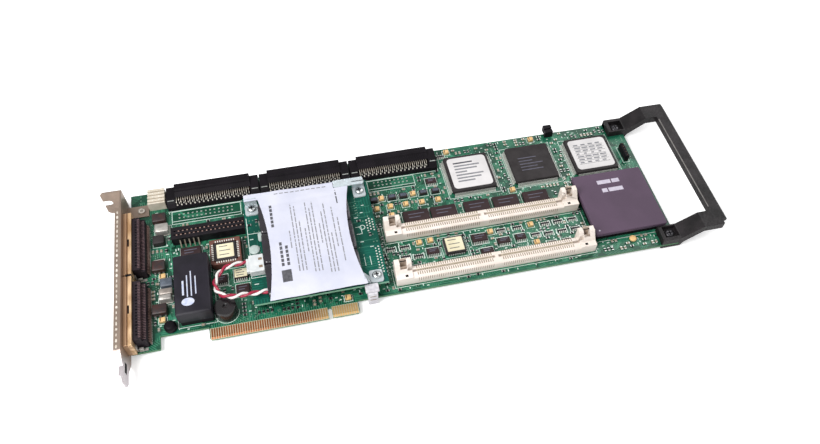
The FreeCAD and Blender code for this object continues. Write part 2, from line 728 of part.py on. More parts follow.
def chip_labels():
    t = label_thickness
    pieces = []
    for n in (0, 2):
        x, y, z = flatpack_left[n], flatpack_low_y[n], flatpack_height
        pieces.append(block(x + 1.7, y + 1.9, z, x + flatpack_body - 1.7, y + flatpack_body - 1.9, z + t))
    x, y = (place + 3.9 for place in chip_socket_place)
    pieces.append(block(x, y, 5.2, x + 9.4, y + 9.4, 5.2 + t))
    pieces.append(block(timing_left + 1.0, 26.7, 3.4, timing_left + 11.0, 36.1, 3.4 + t))
    x, y, width, depth, top = clock_chip
    pieces.append(block(x + 0.4, y + 0.3, top, x + width - 0.4, y + depth - 0.3, top + t))
    return pieces


def jumper_block():
    """Right-angle two-pin header with its shunt pushed on over the board's edge."""
    x0, y0 = board_length - 52.2, board_height - 3.4
    base = block(x0, y0, 0, x0 + 5.2, y0 + 2.6, 4.8)
    pins = [block(x0 + 1.0 + 2.54 * n, y0 + 2.5, 2.2, x0 + 1.64 + 2.54 * n, y0 + 3.6, 2.84) for n in (0, 1)]
    shunt = block(x0, y0 + 3.2, 1.0, x0 + 5.2, y0 + 6.2, 5.2)
    return joined(base, shunt, *pins)


chip_socket_place = (44.0, 43.7)     # low left corner


def chip_socket():
    x0, y0, side = *chip_socket_place, 17.2
    body = block(x0, y0, 0, x0 + side, y0 + side, 5.0)
    well = block(x0 + 2.1, y0 + 2.1, 1.6, x0 + side - 2.1, y0 + side - 2.1, 6)
    corner = [(x0 - 1, y0 - 1), (x0 + 2.2, y0 - 1), (x0 - 1, y0 + 2.2)]
    return body.cut([well, bar([(x, y, -1) for x, y in corner], (0, 0, 9))])


def memory_module():
    """Encapsulated clock and memory module with its battery inside, standing in a socket."""
    x0, y0, w, d = 25.0, 11.0, 18.8, 38.1
    return chip(x0, y0, w, d, 3.4, 8.7, 0.3)


def module_socket():
    x0, y0 = 26.0, 11.4
    frame = block(x0, y0, 0, x0 + 16.8, y0 + 37.2, 3.4)
    return frame.cut(block(x0 + 3.2, y0 + 3, -1, x0 + 13.6, y0 + 34.2, 5))


def buzzer():
    x, y, r = 50.0, 14.8, 5.95
    return disc(x, y, 0, 7.6, r).cut(disc(x, y, 6.4, 9, 1.1))


def expansion_header():
    x0, x1, y0, y1 = 23.4, 66.9, 65.2, 73.6
    height = deck_level - 0.3
    body = block(x0, y0, 0, x1, y1, height)
    rows = [block(x0 + 1.5, y0 + y - 0.5, height - 1.2, x1 - 1.5, y0 + y + 0.5, height + 1)
            for y in (2.9, 5.5)]
    return body.cut(rows)


def test_header():
    x, y = board_length - 8.2, board_height - 32.9
    return block(x, y, 0, x + 2.5, y + 11.4, 4.8)


def round_choke():
    x, y, shoulder = 20.4, 11.4, 3.0
    return joined(disc(x, y, 0, shoulder, 3.3), Part.makeCone(3.3, 2.4, 1.2, Vector(x, y, shoulder)))


def lamp_header():
    """White upright header, ribbed across its top."""
    x0, y0 = 11.0, 93.2
    body = block(x0, y0, 0, x0 + 9.8, y0 + 11.2, 6.4)
    grooves = [block(x0 - 1, y0 + 1.1 + 2.54 * n, 5.2, x0 + 11, y0 + 1.9 + 2.54 * n, 7) for n in range(4)]
    return body.cut(grooves)


def header_tails():
    x0, y0 = 23.4, 65.2
    tails = []
    for n in range(5):
        x = x0 + 4.6 + n * 2.54 - 0.35
        side = [(0, 4.6), (-2.2, 0.3), (-2.2, 0), (-1.6, 0), (0, 3.6)]
        tails.append(bar([(x, y0 + y, z) for y, z in side], (0.7, 0, 0)))
    return tails


def power_package(x0, y0, w, d, tab):
    """Surface-mount power package: thick body on a wider metal tab."""
    body = chip(x0, y0, w, d, 0.3, 4.1, 0.35)
    base = block(x0 + 0.5, y0 + d - 1.2, 0, x0 + w - 0.5, y0 + d + tab, 0.3)
    return [body, base]


def socketed_chip():
    x, y = chip_socket_place
    return chip(x + 2.4, y + 2.4, 12.4, 12.4, 1.6, 3.6, 0.2)


def build():
    save("main_board", main_board())
    save("edge_contacts", *edge_contacts())
    save("slot_bracket", slot_bracket())
    save("bracket_rivet", bracket_rivet())
    for name, y in zip(("lower", "upper"), port_middle_y):
        save("port_shell_" + name, port_shell(y))
        save("port_housing_" + name, port_housing(y), port_tongue(y))
    save("jack_posts", *jack_posts())
    for n in range(3):
        x0 = header_first_x + n * header_spacing
        save("drive_header_%d" % (n + 1), header_body(x0))
        save("drive_header_contacts_%d" % (n + 1), *header_contacts(x0))
    for n, y0 in enumerate(socket_low_y):
        save("memory_socket_%d" % (n + 1), memory_socket(y0))
    save("socket_latches", *socket_latches())
    for n in range(3):
        save("controller_chip_%d" % (n + 1), flatpack(flatpack_left[n], flatpack_low_y[n]))
    x0, y0, s = processor_left, processor_low_y, processor_side
    top = processor_socket_height
    save("processor", block(x0, y0, top, x0 + s, y0 + s, top + processor_thickness))
    i = processor_socket_inset
    save("processor_socket", block(x0 + i, y0 + i, 0, x0 + s - i, y0 + s - i, top))
    w, d, h = buffer_size
    save("cache_chips", *spread([(x, buffer_low_y, w, d, h) for x in buffer_left], small_outline))
    save("logic_chips", *spread(logic_places, small_outline))
    save("clock_chip", small_outline(*clock_chip))
    save("timing_chip", chip(timing_left, 25.7, 12.0, 11.4, 0.3, 3.1, 0.2))
    save("chip_labels", *chip_labels())
    save("tantalum_capacitors", *spread(tantalum_places, tantalum))
    save("power_inductors", *spread(inductor_places, inductor))
    save("resistor_packs", *spread(resistor_places, resistor_pack))
    save("terminator_regulators", *power_package(12.6, 81.4, 7.8, 6.4, 1.4),
         *power_package(11.8, 47.2, 7.2, 7.0, 3.0), *power_package(11.4, 19.2, 8.0, 6.4, 1.0))
    save("crystal_cans", chip(13.8, 73.2, 8.2, 6.6, 0, 4.6, 0.3), chip(15.0, 27.0, 7.4, 4.0, 0, 4.6, 0.3))
    save("suppressor_blocks", chip(12.6, 66.2, 6.4, 5.8, 0, 3.8, 0.2),
         chip(16.0, 36.4, 6.6, 5.4, 0, 3.8, 0.2), chip(15.2, 31.6, 7.2, 3.8, 0, 3.4, 0.2))
    save("round_choke", round_choke())
    save("disc_capacitor", disc(board_length - 26.4, 15.4, 0, 1.8, 2.1))
    save("drive_lamp_header", lamp_header())
    save("expansion_header", expansion_header())
    save("expansion_header_tails", *header_tails())
    save("memory_module", memory_module())
    save("module_socket", module_socket())
    save("chip_socket", chip_socket())
    save("socketed_chip", socketed_chip())
    save("buzzer", buzzer())
    save("jumper_block", jumper_block())
    save("test_header", test_header())
    save("battery_board", battery_board())
    save("deck_posts", *deck_posts())
    save("snap_post", snap_post())
    save("cover_screws", *cover_screws())
    save("battery_pack", battery_pack())
    save("battery_cover", battery_cover())
    save("battery_socket", battery_socket())
    save("battery_plug", battery_plug())
    save("battery_lead", battery_lead())
    save("board_clip", board_clip())
    save("card_handle", card_handle())
    save("handle_screws", *handle_screws())


os.makedirs("parts", exist_ok=True)
build()
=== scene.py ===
import bmesh
import bpy
import numpy as np
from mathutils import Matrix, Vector


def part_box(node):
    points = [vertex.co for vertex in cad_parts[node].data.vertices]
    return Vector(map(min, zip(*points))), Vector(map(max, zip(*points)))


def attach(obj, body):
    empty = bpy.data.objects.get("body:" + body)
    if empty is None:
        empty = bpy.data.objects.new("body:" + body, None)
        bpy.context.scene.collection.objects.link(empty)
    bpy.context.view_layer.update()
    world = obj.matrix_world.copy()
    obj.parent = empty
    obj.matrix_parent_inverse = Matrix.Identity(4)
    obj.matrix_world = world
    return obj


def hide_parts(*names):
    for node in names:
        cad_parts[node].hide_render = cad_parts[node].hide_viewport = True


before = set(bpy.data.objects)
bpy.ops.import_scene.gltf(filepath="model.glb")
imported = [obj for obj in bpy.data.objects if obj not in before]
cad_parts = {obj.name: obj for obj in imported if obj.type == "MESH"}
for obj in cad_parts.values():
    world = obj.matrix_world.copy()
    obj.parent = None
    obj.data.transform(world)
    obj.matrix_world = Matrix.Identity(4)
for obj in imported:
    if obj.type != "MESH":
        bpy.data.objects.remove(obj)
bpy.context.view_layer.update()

mm = 0.001
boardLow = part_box("main_board")[0]
boardCorner = np.array([boardLow.x, 0.0, 0.0])
random = np.random.default_rng(11)
skin = 0.012     # millimetres by which print stands up


def at(x, y, z):     # millimetres from the board's left edge, the tongue's end and the component side
    return (boardLow.x + x * mm, y * mm, z * mm)


def span(node):      # low and high corner of a CAD node in those millimetres
    low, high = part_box(node)
    return (np.array(low) - boardCorner) / mm, (np.array(high) - boardCorner) / mm


def roundSpan(node):     # middle, radius and top of a round node
    low, high = span(node)
    return (low + high) / 2, (high[0] - low[0]) / 2, high[2]


def merged(node):     # working copy of a CAD mesh, its loose triangles joined
    work = bmesh.new()
    work.from_mesh(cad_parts[node].data)
    bmesh.ops.remove_doubles(work, verts=work.verts, dist=1e-7)
    return work


def solidBoxes(node, axis=None):     # span of each separate solid, sorted along an axis if one is given
    work = merged(node)
    seen, boxes = set(), []
    for first in work.verts:
        if first in seen:
            continue
        group, edge = [], [first]
        seen.add(first)
        while edge:
            vert = edge.pop()
            group.append(vert.co[:])
            near = {link.other_vert(vert) for link in vert.link_edges} - seen
            seen |= near
            edge += near
        points = (np.array(group) - boardCorner) / mm
        boxes.append((points.min(0), points.max(0)))
    work.free()
    return boxes if axis is None else sorted(boxes, key=lambda pair: pair[0][axis])


camera = {
    "place": at(100.75, -193.9, 342.8),
    "turn": (34.294, -1.746, -13.006),     # degrees about X, Y and Z
    "sensor": 36.0, "focal": 0.8775,       # width in millimetres; focal length as a share of it
    "shift": (-0.0184, 0.0365),
}


def addCamera():
    data = bpy.data.cameras.new("cameraFront")
    data.sensor_width = camera["sensor"]
    data.lens = camera["sensor"] * camera["focal"]
    data.shift_x, data.shift_y = camera["shift"]
    data.clip_start = 0.01
    eye = bpy.data.objects.new("cameraFront", data)
    eye.location = camera["place"]
    eye.rotation_euler = np.radians(camera["turn"])
    bpy.context.collection.objects.link(eye)
    bpy.context.scene.camera = eye


addCamera()


# shapes are worked out as arrays: a shape is (points, faces), in millimetres
def asFaces(grid):
    return [tuple(face) for face in grid.tolist()]


def prism(outline, reach):     # closed polygon p(k) and its copy p(k) + reach, walls between them
    base = np.asarray(outline, float)
    n = len(base)
    k = np.arange(n)
    walls = np.stack([k, (k + 1) % n, (k + 1) % n + n, k + n], 1)
    faces = asFaces(walls) + [tuple(k[::-1].tolist()), tuple((k + n).tolist())]
    return np.vstack([base, base + np.asarray(reach, float)]), faces


def box(x0, y0, z0, x1, y1, z1):
    return prism([(x0, y0, z0), (x1, y0, z0), (x1, y1, z0), (x0, y1, z0)], (0, 0, z1 - z0))


def alongX(side, x0, x1):     # a side view (y, z) carried from x0 to x1
    return prism([(x0, y, z) for y, z in side], (x1 - x0, 0, 0))


def stacked(sections):     # rows of matching rings joined row to row, flat at both ends
    rings = np.asarray(sections, float)
    rows, n = rings.shape[:2]
    grid = np.arange(rows * n).reshape(rows, n)
    right = np.roll(grid, -1, 1)
    walls = np.stack([grid[:-1], right[:-1], right[1:], grid[1:]], 2).reshape(-1, 4)
    return rings.reshape(-1, 3), asFaces(walls) + asFaces(np.stack([grid[0][::-1], grid[-1]]))


def lathe(profile, sides=10):     # point (r, z) of the profile goes round Z as (r cos a, r sin a, z)
    rows = np.asarray(profile, float)
    a = np.arange(sides) * 2 * np.pi / sides
    ring = np.stack([np.cos(a), np.sin(a), np.zeros(sides)], 1)
    return stacked(rows[:, None, :1] * ring + np.array([0, 0, 1.0]) * rows[:, None, 1:])


def roundRing(x0, y0, x1, y1, z, radius, steps=4):     # rectangle with quarter circles at its corners
    a = np.linspace(0, np.pi / 2, steps) + np.arange(4)[:, None] * np.pi / 2
    x, y = np.array([x1, x0, x0, x1]), np.array([y1, y1, y0, y0])
    inward = radius * np.array([(-1, -1), (1, -1), (1, 1), (-1, 1)])
    x, y = (x + inward[:, 0])[:, None] + radius * np.cos(a), (y + inward[:, 1])[:, None] + radius * np.sin(a)
    return np.stack([x, y, np.full(a.shape, float(z))], 2).reshape(-1, 3)


def tiered(x0, y0, x1, y1, levels, radius, steps=4):     # such rings drawn in by d at height z, joined
    return stacked([roundRing(x0 + d, y0 + d, x1 - d, y1 - d, z, radius, steps) for z, d in levels])


def moulded(x0, y0, z0, x1, y1, z1, draft=0.3, edge=0.25, radius=0.3):     # drafted block, its top edge eased
    parting = z0 + 0.45 * (z1 - z0)
    levels = [(z0, draft), (parting, 0.0), (z1 - edge, draft * 0.7), (z1, draft + edge)]
    return tiered(x0, y0, x1, y1, levels, radius, 3)


def unit(vectors):
    return vectors / np.linalg.norm(vectors, axis=1)[:, None]


def squareTo(path):     # sideways and upward unit vectors along a path
    along = unit(np.gradient(path, axis=0))
    side = unit(np.cross(along, (0.0, 0.0, 1.0)))
    return side, np.cross(side, along)


def tube(path, radius, sides=10):     # circle carried along a path, kept square to it
    side, up = squareTo(path)
    a = (np.arange(sides) * 2 * np.pi / sides)[None, :, None]
    return stacked(path[:, None] + radius * (np.cos(a) * side[:, None] + np.sin(a) * up[:, None]))


def ribbon(points, width, z0, z1, closed=False):     # flat band either side of a line, mitred at its corners
    line = np.asarray(points, float)
    count = len(line)
    if closed:
        ahead, behind = np.roll(line, -1, 0) - line, line - np.roll(line, 1, 0)
    else:
        steps = np.diff(line, axis=0)
        ahead, behind = np.vstack([steps, steps[-1:]]), np.vstack([steps[:1], steps])
    ahead = unit(ahead)
    mean = unit(ahead + unit(behind))
    normal = np.stack([-mean[:, 1], mean[:, 0]], 1)
    reach = (width / 2 / np.maximum((mean * ahead).sum(1), 0.5))[:, None]
    left, right = line + normal * reach, line - normal * reach
    rings = np.stack([np.column_stack([p, np.full(count, z)]) for p, z in
                      ((left, z0), (right, z0), (right, z1), (left, z1))], 1)
    if not closed:
        return stacked(rings)
    grid = np.arange(count * 4).reshape(count, 4)
    nextRow, nextSide = np.roll(grid, -1, 0), np.roll(grid, -1, 1)
    walls = np.stack([grid, nextSide, np.roll(nextSide, -1, 0), nextRow], 2).reshape(-1, 4)
    return rings.reshape(-1, 3), asFaces(walls)


def repeat(shape, places, turns=0.0, sizes=(1.0, 1.0, 1.0)):     # copies scaled, turned about Z, then moved
    points, faces = shape
    places = np.atleast_2d(np.asarray(places, float))
    count = len(places)
    a = np.radians(np.broadcast_to(np.asarray(turns, float), count))[:, None]
    local = points[None] * np.broadcast_to(np.asarray(sizes, float), (count, 3))[:, None]
    turned = np.stack([local[..., 0] * np.cos(a) - local[..., 1] * np.sin(a),
                       local[..., 0] * np.sin(a) + local[..., 1] * np.cos(a), local[..., 2]], 2)
    moved = (turned + places[:, None]).reshape(-1, 3)
    return moved, [tuple(i + n * len(points) for i in face) for n in range(count) for face in faces]


def together(*shapes):
    points, faces, start = [], [], 0
    for verts, polygons in shapes:
        points.append(verts)
        faces += [tuple(i + start for i in face) for face in polygons]
        start += len(verts)
    return np.vstack(points), faces


def addPiece(name, shape, shade, smooth=None, replaces=None, outward=True):
    # shape is one or a list of them, shade a key of finish; past smooth degrees an edge stays sharp
    points, faces = together(*shape) if isinstance(shape, list) else shape
    mesh = bpy.data.meshes.new(name)
    mesh.from_pydata((points * mm + boardCorner).tolist(), [], faces)
    if outward:
        work = bmesh.new()
        work.from_mesh(mesh)
        bmesh.ops.recalc_face_normals(work, faces=work.faces)
        work.to_mesh(mesh)
        work.free()
    if smooth:
        mesh.polygons.foreach_set("use_smooth", [True] * len(mesh.polygons))
        mesh.set_sharp_from_angle(angle=np.radians(smooth))
    mesh.materials.append(finish[shade])
    piece = bpy.data.objects.new(name, mesh)
    bpy.context.collection.objects.link(piece)
    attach(piece, "root")
    if replaces:
        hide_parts(replaces)
    return piece


def bevelEdges(piece, width, steps, angle=30):     # rounds the edges sharper than the angle
    edges = piece.modifiers.new("edges", "BEVEL")
    edges.width = width * mm
    edges.segments = steps
    edges.limit_method = "ANGLE"
    edges.angle_limit = np.radians(angle)


def eased(node, width, shade, steps=2):     # the CAD solid with its hard edges rounded off
    work = merged(node)
    bmesh.ops.dissolve_limit(work, angle_limit=np.radians(0.5), verts=work.verts, edges=work.edges)
    work.verts.index_update()
    points = (np.array([v.co[:] for v in work.verts]) - boardCorner) / mm
    faces = [tuple(v.index for v in face.verts) for face in work.faces]
    work.free()
    piece = addPiece(node + "_eased", (points, faces), shade, replaces=node, outward=False)
    bevelEdges(piece, width, steps, 25)
    return piece


def hexColour(code):     # sRGB hex to the linear colour a shader takes
    parts = np.array([int(code[i:i + 2], 16) / 255 for i in (1, 3, 5)])
    linear = np.where(parts <= 0.04045, parts / 12.92, ((parts + 0.055) / 1.055) ** 2.4)
    return (*linear.tolist(), 1.0)


def setInputs(node, inputs):     # nodes and sockets are linked in, values are set
    for key, value in inputs.items():
        if isinstance(value, bpy.types.Node):
            value = value.outputs[0]
        if isinstance(value, bpy.types.NodeSocket):
            node.id_data.links.new(value, node.inputs[key])
        else:
            node.inputs[key].default_value = value


def addNode(tree, kind, inputs=None, **settings):
    node = tree.nodes.new("ShaderNode" + kind)
    for key, value in settings.items():
        setattr(node, key, value)
    setInputs(node, inputs or {})
    return node


def startMaterial(name):
    material = bpy.data.materials.new(name)
    material.use_nodes = True
    tree = material.node_tree
    return material, tree, tree.nodes["Principled BSDF"], addNode(tree, "TexCoord").outputs["Object"]


noiseRange = {"From Min": 0.35, "From Max": 0.65}     # nearly all of a noise's values lie between these


def madeOf(name, shade, other, patch, grain, depth, rough, metallic=0.0, stretch=(1, 1, 1), coat=0.0,
           specular=0.5):
    # two shades wander over patches, a finer grain raises the surface; patch, grain and depth in millimetres
    material, tree, shader, coords = startMaterial(name)
    drawn = addNode(tree, "Mapping", {"Vector": coords, "Scale": stretch})
    patches = addNode(tree, "TexNoise", {"Vector": drawn, "Scale": 1 / (patch * mm), "Detail": 3.0})
    fine = addNode(tree, "TexNoise", {"Vector": drawn, "Scale": 1 / (grain * mm), "Detail": 2.0})
    amount = addNode(tree, "MapRange", {**noiseRange, "Value": patches})
    setInputs(shader, {
        "Base Color": addNode(tree, "MixRGB", {0: amount, 1: hexColour(shade), 2: hexColour(other)}),
        "Roughness": addNode(tree, "MapRange", {**noiseRange, "Value": fine, "To Min": rough[0],
                                                "To Max": rough[1]}),
        "Normal": addNode(tree, "Bump", {"Height": fine, "Distance": depth * mm, "Strength": 1.0}),
        "Metallic": metallic,
    })
    if coat:
        setInputs(shader, {"Coat Weight": coat, "Coat Roughness": 0.15})
    if not metallic:
        setInputs(shader, {"IOR": 1.5, "Specular IOR Level": specular})
    return material


solderMask = {
    "bare": "#104432", "overCopper": "#3d8264", "pour": "#195a44", "edge": "#4f7a58",
    "trackPitch": 1.1, "trackWidth": 0.42,     # millimetres, a share of it; real ones are too fine to show
    "field": 13.0,                             # tracks and pours keep to fields of about this size
    "slanted": 0.72, "poured": 0.6,            # a field past these slants its tracks, or is a copper pour
    "thinning": 7.0, "cloud": 35.0,            # patches without tracks; patches of a lighter or darker green
    "faceUp": 0.97,                            # less upright than this is the sawn edge
    "gloss": 0.3,
}


def makeBoardFinish(name, look):
    # screened epoxy ink over etched copper: fine raised lines under an even gloss, and the woven laminate's
    # dull edge; a track is where (x / pitch) mod 1 is less than its width, along X, Y or a slant
    material, tree, shader, coords = startMaterial(name)
    x, y, _ = addNode(tree, "SeparateXYZ", {"Vector": coords}).outputs

    def lines(value):
        turns = addNode(tree, "Math", {0: value, 1: look["trackPitch"] * mm}, operation="DIVIDE")
        part = addNode(tree, "Math", {0: turns}, operation="FRACT")
        return addNode(tree, "Math", {0: part, 1: look["trackWidth"]}, operation="LESS_THAN")

    fieldSize = look["field"] * mm
    fields = addNode(tree, "TexVoronoi", {"Vector": coords, "Scale": 1 / fieldSize, "Randomness": 0.8},
                     distance="CHEBYCHEV")
    direction, slant, copper = addNode(tree, "SeparateColor", {"Color": fields.outputs["Color"]}).outputs
    diagonal = addNode(tree, "Math", {0: x, 1: y})
    diagonal = addNode(tree, "Math", {0: diagonal, 1: 0.7071}, operation="MULTIPLY")
    across = addNode(tree, "Math", {0: direction, 1: 0.5}, operation="GREATER_THAN")
    across = addNode(tree, "Mix", {0: across, 2: lines(x), 3: lines(y)})
    slant = addNode(tree, "Math", {0: slant, 1: look["slanted"]}, operation="GREATER_THAN")
    tracks = addNode(tree, "Mix", {0: slant, 2: across, 3: lines(diagonal)})
    patch = 1 / (look["thinning"] * mm)
    thinning = addNode(tree, "TexNoise", {"Vector": coords, "Scale": patch, "Detail": 1.0})
    kept = addNode(tree, "Math", {0: thinning, 1: 0.5}, operation="GREATER_THAN")
    tracks = addNode(tree, "Math", {0: tracks, 1: kept}, operation="MULTIPLY")
    pour = addNode(tree, "Math", {0: copper, 1: look["poured"]}, operation="GREATER_THAN")
    base = addNode(tree, "MixRGB", {0: pour, 1: hexColour(look["bare"]), 2: hexColour(look["pour"])})
    shown = addNode(tree, "Math", {0: tracks, 1: 0.8}, operation="MULTIPLY")
    green = addNode(tree, "MixRGB", {0: shown, 1: base, 2: hexColour(look["overCopper"])})
    cloud = addNode(tree, "TexNoise", {"Vector": coords, "Scale": 1 / (look["cloud"] * mm), "Detail": 2.0})
    cloud = addNode(tree, "MapRange", {**noiseRange, "Value": cloud, "To Min": 0.9, "To Max": 1.12})
    green = addNode(tree, "HueSaturation", {"Color": green, "Value": cloud})
    normal = addNode(tree, "TexCoord").outputs["Normal"]
    upright = addNode(tree, "SeparateXYZ", {"Vector": normal}).outputs[2]
    upright = addNode(tree, "Math", {0: upright}, operation="ABSOLUTE")
    edge = addNode(tree, "Math", {0: upright, 1: look["faceUp"]}, operation="LESS_THAN")
    setInputs(shader, {
        "Base Color": addNode(tree, "MixRGB", {0: edge, 1: green, 2: hexColour(look["edge"])}),
        "Roughness": addNode(tree, "MapRange", {"Value": edge, "To Min": 0.3, "To Max": 0.65}),
        "Normal": addNode(tree, "Bump", {"Height": tracks, "Distance": 0.03 * mm, "Strength": 0.6}),
        "Coat Weight": look["gloss"] / 3, "Coat Roughness": 0.2, "Specular IOR Level": look["gloss"],
    })
    return material


